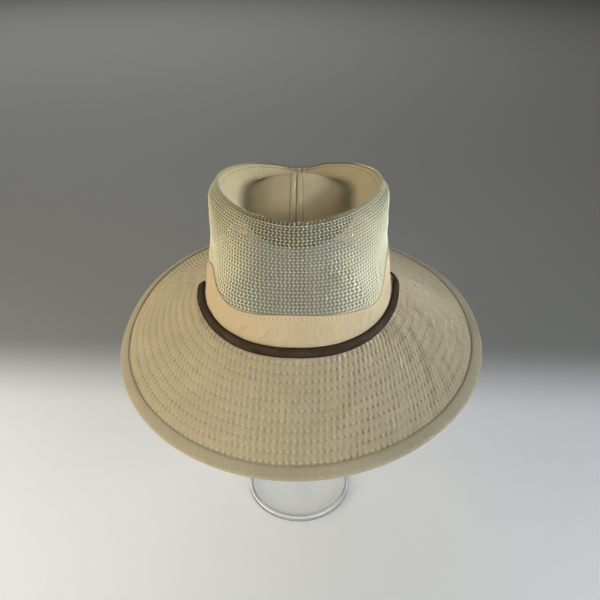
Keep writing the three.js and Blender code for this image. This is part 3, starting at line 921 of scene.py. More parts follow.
def floor_finish(settings):
    """Pale matt floor that turns grey behind the hat."""
    finish = Finish("stage_floor")
    place = finish.position()
    back = finish.axis(place, "Y")
    mottle = finish.noise(place, 60.0, 4.0)
    far = back.rise(settings.pale_back, settings.grey_back)
    colour = finish.blend(tuple(settings.floor_colour), tuple(settings.far_colour), far)
    return finish.surface(
        Base_Color=finish.shade(colour, 0.985 + mottle * 0.03),
        Roughness=0.6 + mottle * 0.1,
        Specular_IOR_Level=0.2,
    )


# Settings

def length(name, description, default):
    """A size that a user can change."""
    return bpy.props.FloatProperty(
        name=name, description=description, default=default, min=0, precision=5, unit="LENGTH"
    )


def colour(name, description, default):
    """A colour that a user can change."""
    return bpy.props.FloatVectorProperty(
        name=name, description=description, default=default, size=4, min=0, max=1, subtype="COLOR"
    )


def number(name, description, default):
    return bpy.props.FloatProperty(name=name, description=description, default=default, min=0)


def count(name, description, default):
    return bpy.props.IntProperty(name=name, description=description, default=default, min=1)


class HatBrimSettings(bpy.types.PropertyGroup):
    """Sizes and colours of the quilted brim and its binding."""

    row_count: count("Rows", "Stitched rows on the brim, without the row beside the binding", 10)
    first_row: length("First row", "From the crown to the first row", 5.5 * MM)
    row_spacing: length("Row spacing", "From one row to the next", 7 * MM)
    hem_row: length("Hem row", "From the binding in to the row beside it", 2 * MM)
    stitch_length: length("Stitch length", "From one needle hole to the next", 4.5 * MM)
    thread_width: length("Thread width", "Thickness of the sewing thread", 0.5 * MM)
    groove: length("Groove", "How deep a row is drawn in", 0.2 * MM)
    puff: length("Puff", "How far the cloth swells between rows", 0.16 * MM)
    pucker: length("Pucker", "Height of the small ridges that the stitches draw up", 0.54 * MM)
    ripple_lean: number("Ridge lean", "Stitches that a ridge leans at most from one row to the next", 1.3)
    hem_dip: length("Hem dip", "How deep the binding's edge presses the brim", 0.3 * MM)
    unevenness: length("Unevenness", "Soft waves of the whole brim", 0.25 * MM)
    cloth_colour: colour("Cloth", "Khaki of the brim", dyed(192, 176, 144))
    binding_colour: colour("Binding", "Khaki of the binding", dyed(178, 165, 138))
    thread_colour: colour("Thread", "Thread of the rows", dyed(222, 211, 184))


class HatCrownSettings(bpy.types.PropertyGroup):
    """Sizes and colours of the crown's cotton, net and tip."""

    net_columns: count("Net columns", "Holes in one row of the net, all round", 164)
    net_rows: count("Net rows", "Rows of holes from the brim's seam to the rim", 41)
    net_draw: number("Net draw", "How much taller the rows are at the foot than at the rim", 0.17)
    net_gather: number("Net gather", "How far the columns are gathered at the front's foot", 0.11)
    net_slant: number("Net slant", "How far a row's holes lean, as a share of a column", 0.55)
    hole_front: number("Holes in front", "Width of a hole in front, as a share of its cell", 0.58)
    hole_side: number("Holes at the sides", "Width of a hole at sides and back, as a share of its cell", 0.56)
    hole_low: number("Holes low down", "Width of a hole low at the sides, as a share of its cell", 0.2)
    hole_height: number("Hole height", "Height of a hole, as a share of its cell", 0.74)
    strand: length("Strand", "Thickness of the net's strands", 1.0 * MM)
    loop_width: length("Loop width", "Thickness of the yarn over the rim", 1.15 * MM)
    strip_width: length("Seam strip", "Width of the pressed strip on each side of the tip's seam", 5 * MM)
    seam_row: length("Seam row", "From the strip's edge in to its topstitching", 1 * MM)
    rim_row: length("Rim row", "From the rim in to the tip's topstitching", 5.5 * MM)
    # Fold shade is painted shade in the tip's crease.
    fold_shade: number("Fold shade", "How much darker the cloth is in the tip's crease", 0.5)
    # Inside shade is painted shade on the tip's inner side, seen through the net.
    inside_shade: number("Inside shade", "How much darker the tip's inner side is", 0.48)
    stitch_length: length("Stitch length", "From one needle hole to the next", 3 * MM)
    thread_width: length("Thread width", "Thickness of the sewing thread", 0.5 * MM)
    cotton_colour: colour("Cotton", "Pale khaki of the crown's wall", dyed(201, 179, 142))
    # Net dulling is painted shade near the middle of the net.
    net_middle_shade: number("Net dulling", "How much duller the yarn is in the middle than at the sides", 0.42)
    # Net colour is the yarn's colour on its painted-highlight crests; net shade is a painted shaded copy of
    # it on the flanks.
    net_colour: colour("Net", "Pale olive of the net's yarn", dyed(238, 231, 200))
    net_shade: colour("Net shade", "Olive of the yarn's flanks", dyed(146, 136, 94))
    tip_colour: colour("Tip", "Pale khaki of the tip", dyed(200, 181, 140))
    thread_colour: colour("Thread", "Thread of the crown's seams", dyed(222, 209, 178))


class HatBandSettings(bpy.types.PropertyGroup):
    """Colours and grain of the leather band."""

    grain: length("Grain", "Size of the leather's pebbles", 0.8 * MM)
    leather_colour: colour("Leather", "Dark brown of the band", dyed(50, 34, 19))
    # The worn leather colour is partly rubbed wear and partly a painted highlight.
    wear_and_highlight_colour: colour("Worn leather", "Brown where the band is rubbed", dyed(74, 56, 37))


class HatStandSettings(bpy.types.PropertyGroup):
    """Finish of the clear stand."""

    # Tint and rim shade are painted highlight and painted shade lines along the acrylic's edges.
    tint: colour("Tint", "Bright lines along the acrylic's edges", (0.95, 0.97, 0.97, 1.0))
    rim_shade: colour("Rim shade", "Grey lines along the acrylic's edges", (0.33, 0.36, 0.36, 1.0))
    rim_line: length("Rim line", "Width of the lines along the edges", 1.6 * MM)
    clearness: number("Film", "How much the clear faces show", 0.05)
    haze: number("Haze", "Roughness of the polished faces", 0.03)


class HatStageSettings(bpy.types.PropertyGroup):
    """Floor, light and camera."""

    pale_back: length("Pale floor", "Distance behind the hat where the floor starts to turn grey", 0.1)
    grey_back: length("Grey floor", "Distance behind the hat where the floor is grey", 0.26)
    floor_colour: colour("Floor", "Pale floor under the hat", dyed(250, 251, 255))
    far_colour: colour("Far floor", "Grey far behind the hat", dyed(152, 152, 149))
    key_colour: colour("Right light", "Colour of the lights from the right", (0.82, 0.92, 1.0, 1.0))
    key_power: number("Right light power", "Watts of the light from the right", 6.6)
    fill_colour: colour("Left light", "Colour of the light from the left", (1.0, 0.91, 0.7, 1.0))
    fill_power: number("Left light power", "Watts of the light from the left", 8.2)
    front_power: number("Front light power", "Watts of the low light from the front", 1.5)
    crown_power: number("Crown light power", "Watts of the narrow light on the crown from the right", 0.14)
    back_power: number("Back light power", "Watts of the wide light over the floor behind the hat", 72.0)
    sky: number("Sky", "Strength of the even light from all sides", 0.06)


# Pieces

AZIMUTHS = np.linspace(0, TURN, 721)
MEAN_CROWN_GIRTH = 0.56
MEAN_BRIM_GIRTH = 1.04


UPPER_OFFSETS = np.array([-3.5, -2, -0.8, 0, 0.8, 2]) * MM
UNDER_OFFSETS = np.array([-3.5, 0]) * MM
SEAM_STRIP = 1 * MM
FIRST_OFFSET = 1.2 * MM
BRIM_TURNS = np.linspace(0, TURN, 1021)
BRIM_STITCH_SHARE = 0.8


def brim_distances(quilting, offsets):
    """Distances out from the crown that follow each stitched row."""
    near = (quilting.rows[:, None] + offsets).ravel()
    edge = BRIM_WIDTH - 2 * BINDING_CLOTH - SEAM_GAP
    near = near[(near > FIRST_OFFSET) & (near < edge)]
    return np.unique(np.concatenate([[0, SEAM_STRIP, HEM_DISTANCE, edge], near]))


def build_brim(settings):
    quilting = Quilting(settings)
    upper = brim_distances(quilting, UPPER_OFFSETS)
    lower = brim_distances(quilting, UNDER_OFFSETS)
    azimuth = BRIM_TURNS[:-1, None]
    top, _ = quilting.top(azimuth, upper)
    under, _ = quilting.underside(azimuth, lower)
    under[:, 0] = top[:, 0] - upwards(azimuth[:, 0]) * BRIM_THICKNESS
    sections = np.concatenate([top, under[:, ::-1]], axis=1)
    turns, size = sections.shape[:2]
    plan = np.concatenate([sections, sections[:, :1]], axis=1)
    plan = np.concatenate([plan, plan[:1]], axis=0)[..., :2]
    points, faces, places = skin(sections, plan)
    a, s = quad_grid(turns, size)
    distance = np.concatenate([upper, lower[::-1], upper[:1]])
    middle = (distance[s[:, 0]] + distance[s[:, 2]]) / 2
    row = quilting.nearest(middle)[:, None]
    phase = quilting.phase(np.broadcast_to(row, a.shape), BRIM_TURNS[a])
    off = (distance[s] - quilting.rows[row]) / settings.row_spacing
    rows = [np.stack([phase, off], -1)]
    mesh = mesh_of("brim_quilted", points, faces, {"cloth": places, "stitch_rows": rows})
    add_piece(mesh, brim_finish(settings), ["brim"])


def build_brim_stitching(settings):
    quilting = Quilting(settings)
    finish = thread_finish("brim_thread", settings.thread_colour)
    for name, surface in (("upper", quilting.top), ("under", quilting.underside)):
        lots = []
        for row, distance in enumerate(quilting.rows):
            def path(t, distance=distance):
                return surface(t * TURN, distance)
            number = quilting.counts[row]
            width = settings.thread_width
            lots.append(stitches_along(path, settings.stitch_length, width, BRIM_STITCH_SHARE, number))
        add_piece(mesh_of(f"brim_stitching_{name}", *join(*lots)), finish)


BINDING_LEG_POINTS = 12
BINDING_FOLD_POINTS = 13
BINDING_EASE = 0.25 * MM
BINDING_OUTER = 1.05
BINDING_PRESS = 0.45 * MM
BINDING_INNER_PRESS = 0.2 * MM
BINDING_PRESS_WIDTH = 1.2 * MM
BINDING_RIPPLE = 0.10 * MM
BINDING_WAVE = 0.12 * MM
BINDING_PUFF = 0.22 * MM


def build_binding(settings):
    channel = BRIM_THICKNESS / 2 + SEAM_GAP
    radius = channel + BINDING_CLOTH
    legs = np.linspace(BINDING_WIDTH, radius, BINDING_LEG_POINTS)
    fold = np.pi * (0.5 - np.linspace(0, 1, BINDING_FOLD_POINTS)[1:-1])
    bottom = 2 * BINDING_CLOTH
    back = np.concatenate([
        [BINDING_WIDTH, BINDING_WIDTH], legs[1:], radius * (1 - np.cos(fold)), legs[:0:-1],
        [BINDING_WIDTH, BINDING_WIDTH], [BINDING_WIDTH, bottom, bottom, BINDING_WIDTH],
    ])
    back[[1, len(back) - 6]] -= BINDING_EASE
    proud = np.concatenate([
        [radius - BINDING_EASE, radius], np.full(len(legs) - 1, radius), radius * np.sin(fold),
        np.full(len(legs) - 1, -radius), [-radius, BINDING_EASE - radius],
        [-channel, -channel, channel, channel],
    ])
    outside = np.abs(proud) > channel * BINDING_OUTER
    depth = np.where(outside, BINDING_PRESS, BINDING_INNER_PRESS)
    pressed = bell(BINDING_WIDTH - back, BINDING_PRESS_WIDTH) * depth
    proud = proud - np.sign(proud) * pressed
    azimuth = AZIMUTHS[:-1, None]
    point, square = brim_place(azimuth, BRIM_WIDTH - back)
    share = np.clip((BINDING_WIDTH - back) / BINDING_WIDTH, 0, 1)
    ripple = waves(azimuth, back * 2, 21, turns=(40, 150), pitch=(8 * MM, 40 * MM))
    slow = waves(azimuth, back, 23, turns=(5, 24))
    arch = np.sin(math.pi * share)
    swell = (BINDING_RIPPLE * ripple + BINDING_WAVE * slow + BINDING_PUFF * arch) * np.sqrt(arch)
    lift = np.where(outside, np.sign(proud) * swell, 0)
    sections = point + square * (proud - BRIM_THICKNESS / 2 + lift)[..., None]
    along = running_length(np.concatenate([sections[0], sections[0, :1]]))
    cloth = strip_places(AZIMUTHS / TURN * MEAN_BRIM_GIRTH, along)
    points, faces, places = skin(sections, cloth)
    finish = cloth_finish("binding_twill", settings.binding_colour, 0.75 * MM, 0.6, 0.1 * MM, 0.26)
    mesh = mesh_of("brim_binding_fold", points, faces, {"cloth": places})
    add_piece(mesh, finish, ["brim_binding"])


def fold_lift(folds, azimuth, height):
    """How far the folds of a table stand out from the crown's wall."""
    lift = 0.0
    arm = CROWN_SECTIONS["front"][0]
    for start, middle, slant, depth, width, reach in zip(*folds.values()):
        across = np.radians(turned_from(azimuth, start)) * arm
        up = height - middle
        cosine, sine = math.cos(math.radians(slant)), math.sin(math.radians(slant))
        along = across * cosine + up * sine
        aside = up * cosine - across * sine
        lift = lift + depth * bell(aside, width) * bell(along, reach)
    return lift


COTTON_WAVES = 0.22 * MM
COTTON_FOOT_EASE = 0.25
COTTON_TOP_EASE = 0.9


def cotton_lift(azimuth, height):
    """Folds and soft waves of the cotton wall."""
    soft = waves(azimuth, height, 31, turns=(4, 30), pitch=(12 * MM, 50 * MM))
    return COTTON_WAVES * soft + fold_lift(COTTON_FOLDS, azimuth, height)


def cotton_surface(azimuth, rise):
    """Point on the cotton wall at a share of the way from the brim's seam to the net's, and its direction."""
    azimuth, rise = np.broadcast_arrays(np.asarray(azimuth, float), rise)
    top = cotton_share(azimuth) - SEAM_GAP / 2 / rim_height(azimuth)
    share = rise * top
    square = square_to(crown_point, azimuth, share)
    height = share * rim_height(azimuth)
    ease = smoothstep(0, COTTON_FOOT_EASE, rise) * (1 - smoothstep(COTTON_TOP_EASE, 1, rise))
    lift = cotton_lift(azimuth, height) * ease
    return crown_point(azimuth, share) + square * lift[..., None], square


# Rows up the cotton wall, closer under its upper seam, and what that seam does to the cloth
COTTON_RISES = np.concatenate([np.linspace(0, 0.84, 22), np.linspace(0.86, 1, 12)])
COTTON_ROW_DROP = 3 * MM
COTTON_ROW_DIP = 0.22 * MM
COTTON_ROW_WIDTH = 0.8 * MM
COTTON_ALLOWANCE = 0.2 * MM
COTTON_ALLOWANCE_EDGE = 2.4 * MM, 1 * MM
COTTON_EDGE_ROUND = 0.12 * MM
MEAN_COTTON_HEIGHT = 36 * MM


def cotton_row(azimuth):
    """Share up the cotton wall of the stitched row under its upper seam."""
    return 1 - COTTON_ROW_DROP / around(COTTON_TOPS, "height", azimuth)


def build_cotton_wall(settings):
    azimuth = AZIMUTHS[:-1, None]
    outside, square = cotton_surface(azimuth, COTTON_RISES)
    below = np.abs(COTTON_RISES - cotton_row(azimuth)) * around(COTTON_TOPS, "height", azimuth)
    turned_in = smoothstep(*COTTON_ALLOWANCE_EDGE, (1 - COTTON_RISES) * MEAN_COTTON_HEIGHT)
    lift = COTTON_ALLOWANCE * turned_in - COTTON_ROW_DIP * bell(below, COTTON_ROW_WIDTH)
    outside = outside + square * lift[..., None]
    square[:, 0] = outwards(azimuth[:, 0])
    foot = outside[:, :1] - upwards(azimuth) * BRIM_THICKNESS
    inner = outside - square * COTTON_THICKNESS
    inner_foot = foot - outwards(azimuth) * COTTON_THICKNESS
    edge = mix(outside[:, -1:], inner[:, -1:], 0.5) + upwards(azimuth) * COTTON_EDGE_ROUND
    sections = np.concatenate([foot, outside, edge, inner[:, ::-2], inner_foot], axis=1)
    along = running_length(np.concatenate([sections[0], sections[0, :1]]))
    cloth = strip_places(AZIMUTHS / TURN * MEAN_CROWN_GIRTH, along)
    points, faces, places = skin(sections, cloth)
    run = running_length(cotton_surface(AZIMUTHS, cotton_row(AZIMUTHS))[0])
    phase = run / run[-1] * max(round(run[-1] / settings.stitch_length), 1)
    sewn = np.full(cloth.shape, BRIM_WIDTH)
    sewn[..., 0] = phase[:, None]
    sewn[:-1, 1:1 + len(COTTON_RISES), 1] = below
    sewn[-1, :, 1] = sewn[0, :, 1]
    rows = skin(sections, sewn)[2]
    finish = cloth_finish("wall_cotton", settings.cotton_colour, 0.55 * MM, 0.0, 0.12 * MM, 0.28, sewn=True)
    mesh = mesh_of("crown_wall_cotton_sewn", points, faces, {"cloth": places, "stitch_row": rows})
    add_piece(mesh, finish, ["crown_wall_cotton"])


# Net: how it is wrapped on the crown, where its front is open, and how much painted light each part of its
# yarn gets, from a painted highlight on the crests to painted shade on the flanks
NET_STEPS = 200
NET_GIRTH_SHARE = 0.7
NET_FOOT_EASE = 0.1
NET_RIM_EASE = 0.88
NET_FOOT_MARGIN = 0.6
NET_OPENING = table("level turn", [(0.25, 40), (0.7, 17), (1.0, 12)])
NET_OPENING_EDGE = 0.75, 1.2
NET_CLOSED_RISE = 0.48, 0.85
LINK_LIFT = 0.4
LINK_PAINTED_LIGHT = 0.6
EDGE_PAINTED_LIGHT = 0.3
SMALLEST_FACE = 1e-9


class NetCloth:
    """The net as a flat sheet wrapped on the crown: columns around, rows up by length along the wall."""

    def __init__(self, settings):
        self.settings = settings
        level = np.linspace(0, 1, NET_STEPS + 1)
        self.azimuths = np.arange(TURN + 1)
        run = running_length(crown_point(self.azimuths[:, None], level))
        run = run / run[:, -1:]
        drawn = level * (1 + settings.net_draw * (1 - level))
        self.shares = np.array([np.interp(drawn, row, level) for row in run])
        foot_share = cotton_share(self.azimuths) + SEAM_GAP / 2 / rim_height(self.azimuths)
        foot = np.array([np.interp(share, level, row) for share, row in zip(foot_share, run)])
        self.levels = np.interp(foot, drawn, level)
        girth = running_length(crown_point(self.azimuths, NET_GIRTH_SHARE))
        self.girths = girth / girth[-1]

    def azimuth(self, column, row):
        """Azimuth of a column, which leans one way and then the other and is gathered at the foot."""
        leaning = self.settings.net_slant * np.abs(np.mod(row + 1, 2) - 1)
        turns = (column + leaning) / self.settings.net_columns
        even = np.interp(np.mod(turns, 1), self.girths, self.azimuths)
        gathered = self.settings.net_gather * (1 - row / self.settings.net_rows)
        return even - np.degrees(gathered * np.sin(2 * np.radians(even)))

    def foot(self, azimuth):
        """Row where the net meets the cotton."""
        return np.interp(np.mod(azimuth, TURN), self.azimuths, self.levels) * self.settings.net_rows

    def share(self, azimuth, row):
        """Share of the crown's height at a row of the net."""
        across = np.mod(azimuth, TURN)
        up = np.clip(row / self.settings.net_rows, 0, 1) * NET_STEPS
        i = np.clip(across.astype(int), 0, len(self.azimuths) - 2)
        j = np.clip(up.astype(int), 0, NET_STEPS - 1)
        s, t = across - i, up - j
        low = mix(self.shares[i, j], self.shares[i + 1, j], s)
        return mix(low, mix(self.shares[i, j + 1], self.shares[i + 1, j + 1], s), t)

    def place(self, azimuth, row, proud):
        share = self.share(azimuth, row)
        square = square_to(crown_point, azimuth, share)
        height = share * rim_height(azimuth)
        over_foot = share - cotton_share(azimuth)
        ease = smoothstep(0, NET_FOOT_EASE, over_foot) * (1 - smoothstep(NET_RIM_EASE, 1, share))
        middle = proud - NET_THICKNESS / 2 + fold_lift(NET_FOLDS, azimuth, height) * ease
        return crown_point(azimuth, share, -COTTON_PROUD) + square * middle[..., None]


# Corners of one cell of the net, and of its hole, whose own corners are drawn in
CELL_CORNERS = np.array([
    (0.5, 0), (0.5, 0.5), (0, 0.5), (-0.5, 0.5), (-0.5, 0), (-0.5, -0.5), (0, -0.5), (0.5, -0.5),
])
HOLE_CORNERS = CELL_CORNERS * np.where(CELL_CORNERS.all(1), 0.84, 1.0)[:, None]
CORNERS = len(CELL_CORNERS)
HALF_CELLS = 2


def net_cells(settings, net):
    """Middles of the net's holes, in columns and rows."""
    column, row = np.meshgrid(np.arange(settings.net_columns), np.arange(settings.net_rows), indexing="ij")
    middles = np.stack([column, row + 0.5], -1).reshape(-1, 2).astype(float)
    foot = net.foot(net.azimuth(middles[:, 0], middles[:, 1]))
    return middles[middles[:, 1] + NET_FOOT_MARGIN > foot]


def hole_spans(settings, net, middles):
    """Width and height of each hole, as shares of its cell."""
    level = middles[:, 1] / settings.net_rows
    at_side = mix(settings.hole_low, settings.hole_side, smoothstep(*NET_CLOSED_RISE, level))
    from_front = np.abs(turned_from(net.azimuth(middles[:, 0], middles[:, 1]), 0))
    beyond = from_front / np.interp(level, NET_OPENING["level"], NET_OPENING["turn"])
    opened = mix(settings.hole_front, at_side, smoothstep(*NET_OPENING_EDGE, beyond))
    return np.stack([opened, np.full(len(middles), settings.hole_height)], -1)


def build_net(settings):
    net = NetCloth(settings)
    middles = net_cells(settings, net)
    cells = len(middles)
    hole = middles[:, None] + HOLE_CORNERS * hole_spans(settings, net, middles)[:, None]
    keys = np.round((middles[:, None] + CELL_CORNERS) * HALF_CELLS).astype(int)
    keys[..., 0] %= HALF_CELLS * settings.net_columns
    unique, back = np.unique(keys.reshape(-1, 2), axis=0, return_inverse=True)
    crest = unique / HALF_CELLS
    half = settings.strand / 2
    link = unique[:, 1] % HALF_CELLS == 1
    lots = (
        (crest, np.where(link, LINK_LIFT, 1.0) * half),
        (crest, np.full(len(crest), -half)),
        (hole.reshape(-1, 2), np.zeros(cells * CORNERS)),
    )
    points = []
    for places, proud in lots:
        azimuth = net.azimuth(places[:, 0], places[:, 1])
        row = np.clip(places[:, 1], net.foot(azimuth), settings.net_rows)
        points.append(net.place(azimuth, row, proud))
    ring = back.reshape(cells, CORNERS)
    behind = ring + len(crest)
    opening = np.arange(cells * CORNERS).reshape(cells, CORNERS) + 2 * len(crest)
    quads = []
    for outer, inner in ((ring, opening), (opening, behind)):
        corners = [outer, np.roll(outer, -1, 1), np.roll(inner, -1, 1), inner]
        quads.append(np.stack(corners, -1).reshape(-1, 4))
    points = np.concatenate(points)
    quads = np.concatenate(quads)
    a, b, c, d = (points[quads[:, k]] for k in range(4))
    quads = quads[np.linalg.norm(np.cross(c - a, d - b), axis=1) > SMALLEST_FACE]
    edges = [net_edge(net, at_rim) for at_rim in (False, True)]
    points, faces = join((points, [quads]), *edges, rim_loops(settings, net))
    # Painted light on the yarn: full on the crests, less on links, rolled edges and rim loops, none (painted
    # shade) on flanks and hole edges.
    painted_yarn_light = np.full(len(points), EDGE_PAINTED_LIGHT)
    painted_yarn_light[:len(crest)] = np.where(link, LINK_PAINTED_LIGHT, 1.0)
    painted_yarn_light[len(crest):2 * len(crest) + cells * CORNERS] = 0
    yarn = [np.stack([painted_yarn_light[lot], painted_yarn_light[lot]], -1) for lot in faces]
    mesh = mesh_of("crown_net", points, faces, {"yarn": yarn})
    add_piece(mesh, net_finish(settings), ["crown_wall_mesh"])


# Rolled edges of the net: rows up from the edge, and thickness
FOOT_EDGE = 0.22, 0.8 * MM
RIM_EDGE = -0.16, 0.6 * MM
EDGE_SIDES = 8
EDGE_FLATNESS = 0.9


def net_edge(net, at_rim):
    """Rolled edge of the net, along the rim or along the cotton's seam."""
    azimuth = AZIMUTHS[:-1:2]
    up_from, width = RIM_EDGE if at_rim else FOOT_EDGE
    edge = np.full(len(azimuth), float(net.settings.net_rows)) if at_rim else net.foot(azimuth)
    middle = net.place(azimuth, edge + up_from, np.zeros(len(azimuth)))
    out = square_to(crown_point, azimuth, net.share(azimuth, edge + up_from))
    along = unit(np.roll(middle, -1, 0) - np.roll(middle, 1, 0))
    up = np.cross(out, along)
    turn = math.tau * np.arange(EDGE_SIDES) / EDGE_SIDES
    ring = out[:, None] * np.cos(turn)[:, None] * EDGE_FLATNESS + up[:, None] * np.sin(turn)[:, None]
    sections = middle[:, None] + ring * width / 2
    a, s = quad_grid(len(azimuth), EDGE_SIDES)
    return sections.reshape(-1, 3), [(a % len(azimuth)) * EDGE_SIDES + s % EDGE_SIDES]


# Yarn over the rim: its rings, rows below the rim on the net, and places and heights on the tip
LOOP_RINGS = table("girth lift", [(0.7, 0), (1, 0), (1, 0), (1, 0), (0.7, 0)])
LOOP_COLUMN = 0.25
LOOP_ROWS = 1.15, 0.5
LOOP_LIFT = 0.6
LOOP_RIDGE = 0.8 * MM
LOOP_ENDS = (1.0 * MM, 0.5 * MM), (2.1 * MM, 0.1 * MM)


def rim_loops(settings, net):
    """Yarn that catches the net's last row over the rim, one turn for each column."""
    azimuth = net.azimuth(np.arange(settings.net_columns) + LOOP_COLUMN, settings.net_rows)
    proud = np.full(len(azimuth), settings.strand * LOOP_LIFT)
    on_net = [net.place(azimuth, np.full(len(azimuth), settings.net_rows - row), proud) for row in LOOP_ROWS]
    ridge = crown_point(azimuth, 1.0, -COTTON_PROUD) + rim_seam_direction(azimuth) * LOOP_RIDGE
    on_tip = []
    for inward, lift in LOOP_ENDS:
        point, square = tip_surface(settings, azimuth, tip_share_at(azimuth, inward))
        on_tip.append(point + square * lift)
    points = np.stack([*on_net, ridge, *on_tip], 1)
    ups = np.stack([outwards(azimuth), outwards(azimuth), *[upwards(azimuth)] * 3], 1)
    return threads(points, ups, settings.loop_width, LOOP_RINGS)


# Rows of the tip from rim to middle: from, to and count, close by the rim and in the crease
TIP_SPANS = [(0, 0.12, 12), (0.12, 0.44, 22), (0.44, 0.56, 15), (0.56, 0.75, 12), (0.75, 1, 14)]
TIP_SHARES = np.unique(np.concatenate([np.linspace(*span) for span in TIP_SPANS]))
TIP_TURNS = 260
TIP_END_DRAW = 0.11
TIP_UNDER = slice(None, None, -3)
TIP_MIDDLE_SHARE = 0.985
TIP_INSIDE = 10 * MM

# How far the sewn tip rises or sinks: seam allowance, rows, pressed strips, seam and soft waves
RIM_ALLOWANCE = 0.35 * MM
RIM_GROOVE = 0.45 * MM
STRIP_RISE = 0.5 * MM
SEAM_DIP = 0.8 * MM
SEAM_GROOVE = 0.25 * MM
TIP_WAVES = 0.3 * MM

# Centre seam pulled sideways: how far, where it starts and how long it runs, its end and its width
SEAM_DRIFT = 3 * MM
DRIFT_FROM = -70 * MM
DRIFT_RUN = 115 * MM
DRIFT_END = 48 * MM, 74 * MM
DRIFT_WIDTH = 22 * MM


def tip_inward(azimuth, share):
    """Distance of a point on the tip from the rim."""
    rim = crown_point(azimuth, 1.0, -COTTON_PROUD)
    return np.linalg.norm(tip_point(azimuth, share) - rim, axis=-1)


def seam_drift(point):
    """How far the centre seam has been pulled sideways on the cushion."""
    x, y = point[..., 0], point[..., 1]
    along = np.clip((y - DRIFT_FROM) / DRIFT_RUN, 0, 1) * (1 - smoothstep(*DRIFT_END, y))
    return -SEAM_DRIFT * along * bell(x, DRIFT_WIDTH)


def tip_surface(settings, azimuth, share):
    """Point on the sewn tip and its direction: seam allowance under the rim, pressed strips by the seam."""
    azimuth, share = np.broadcast_arrays(np.asarray(azimuth, float), share)
    point = tip_point(azimuth, share)
    square = square_to(tip_point, azimuth, share)
    square = np.where((share > TIP_MIDDLE_SHARE)[..., None], upwards(share), square)
    inward = tip_inward(azimuth, share)
    aside = np.abs(point[..., 0])
    past_row = inward - settings.rim_row
    past_strip = aside - settings.strip_width
    allowance = RIM_ALLOWANCE * (1 - smoothstep(-0.4 * MM, 0.6 * MM, past_row))
    rim_groove = RIM_GROOVE * bell(past_row, 0.8 * MM)
    strip = STRIP_RISE * (1 - smoothstep(-0.5 * MM, 0.4 * MM, past_strip))
    seam = SEAM_DIP * bell(aside, 0.8 * MM)
    rows = SEAM_GROOVE * bell(past_strip + settings.seam_row, 0.6 * MM)
    soft = TIP_WAVES * rumples(point[..., 0], point[..., 1], 41, (16 * MM, 60 * MM))
    ease = smoothstep(0, 2 * MM, inward)
    lift = allowance - rim_groove + strip - seam - rows + soft
    sewn = point + square * (lift * ease)[..., None]
    sewn[..., 0] += seam_drift(point)
    return sewn, square


def build_tip(settings):
    finish = tip_finish(settings)
    bend = np.linspace(0, 1, TIP_TURNS + 1)
    bend = bend - TIP_END_DRAW * np.sin(math.tau * bend)
    for name, start, side in (("left", 0.0, 1), ("right", TURN / 2, -1)):
        azimuth = (start + bend * TURN / 2)[:, None]
        outside, square = tip_surface(settings, azimuth, TIP_SHARES)
        square[:, 0] = rim_seam_direction(azimuth[:, 0])
        square[[0, -1], :, 0] = 0
        square = unit(square)
        under = (outside - square * COTTON_THICKNESS)[:, TIP_UNDER]
        plain = tip_point(azimuth, TIP_SHARES)
        ways = np.stack([np.broadcast_to(TIP_SHARES, plain.shape[:2]), tip_inward(azimuth, TIP_SHARES)], -1)
        drift = np.concatenate([seam_drift(plain), seam_drift(plain)[:, TIP_UNDER]], axis=1)
        sections = np.concatenate([outside, under], axis=1)
        sections[[0, -1], :, 0] = drift[[0, -1]]
        sections[..., 0] += side * SEAM_GAP / 2
        seam = sections[..., :2] - np.stack([drift, np.zeros_like(drift)], -1)
        # The under side is mapped below the rim so that its finish gives it painted shade.
        inside = ways[:, TIP_UNDER] * (1, 0) - (0, TIP_INSIDE)
        maps = {"cloth": sections[..., :2], "seam": seam, "way": np.concatenate([ways, inside], axis=1)}
        for label, places in maps.items():
            cloth = np.append(places, places[:, :1], axis=1)
            points, faces, maps[label] = skin(sections, cloth, closed=False)
        mesh = mesh_of(f"crown_tip_{name}_sewn", points, faces, maps)
        add_piece(mesh, finish, [f"crown_tip_{name}"])


def tip_share_at(azimuth, inward):
    """Share of the tip's way in at a distance from the rim, along its surface."""
    shares = np.linspace(0, 0.6, 121)
    run = running_length(tip_point(azimuth[:, None], shares))
    return np.array([np.interp(inward, row, shares) for row in run])


# Stitches of the crown: two short rows on the tip, ends of the seam's rows, and how deep threads lie
TIP_TACKS = (((-40.2, 65), (-37.2, 52)), ((-37.5, 67.5), (-34.6, 54)))
SEAM_ROW_ENDS = -68, 78
COTTON_THREAD_DEPTH = 0.2 * MM
NET_ROW_DROP = 1.2
NET_STITCH_SHARE = 0.95


def shaped_like(t, *vectors):
    """Vectors in the layout of t."""
    return tuple(vector.reshape(np.shape(t) + (3,)) for vector in vectors)


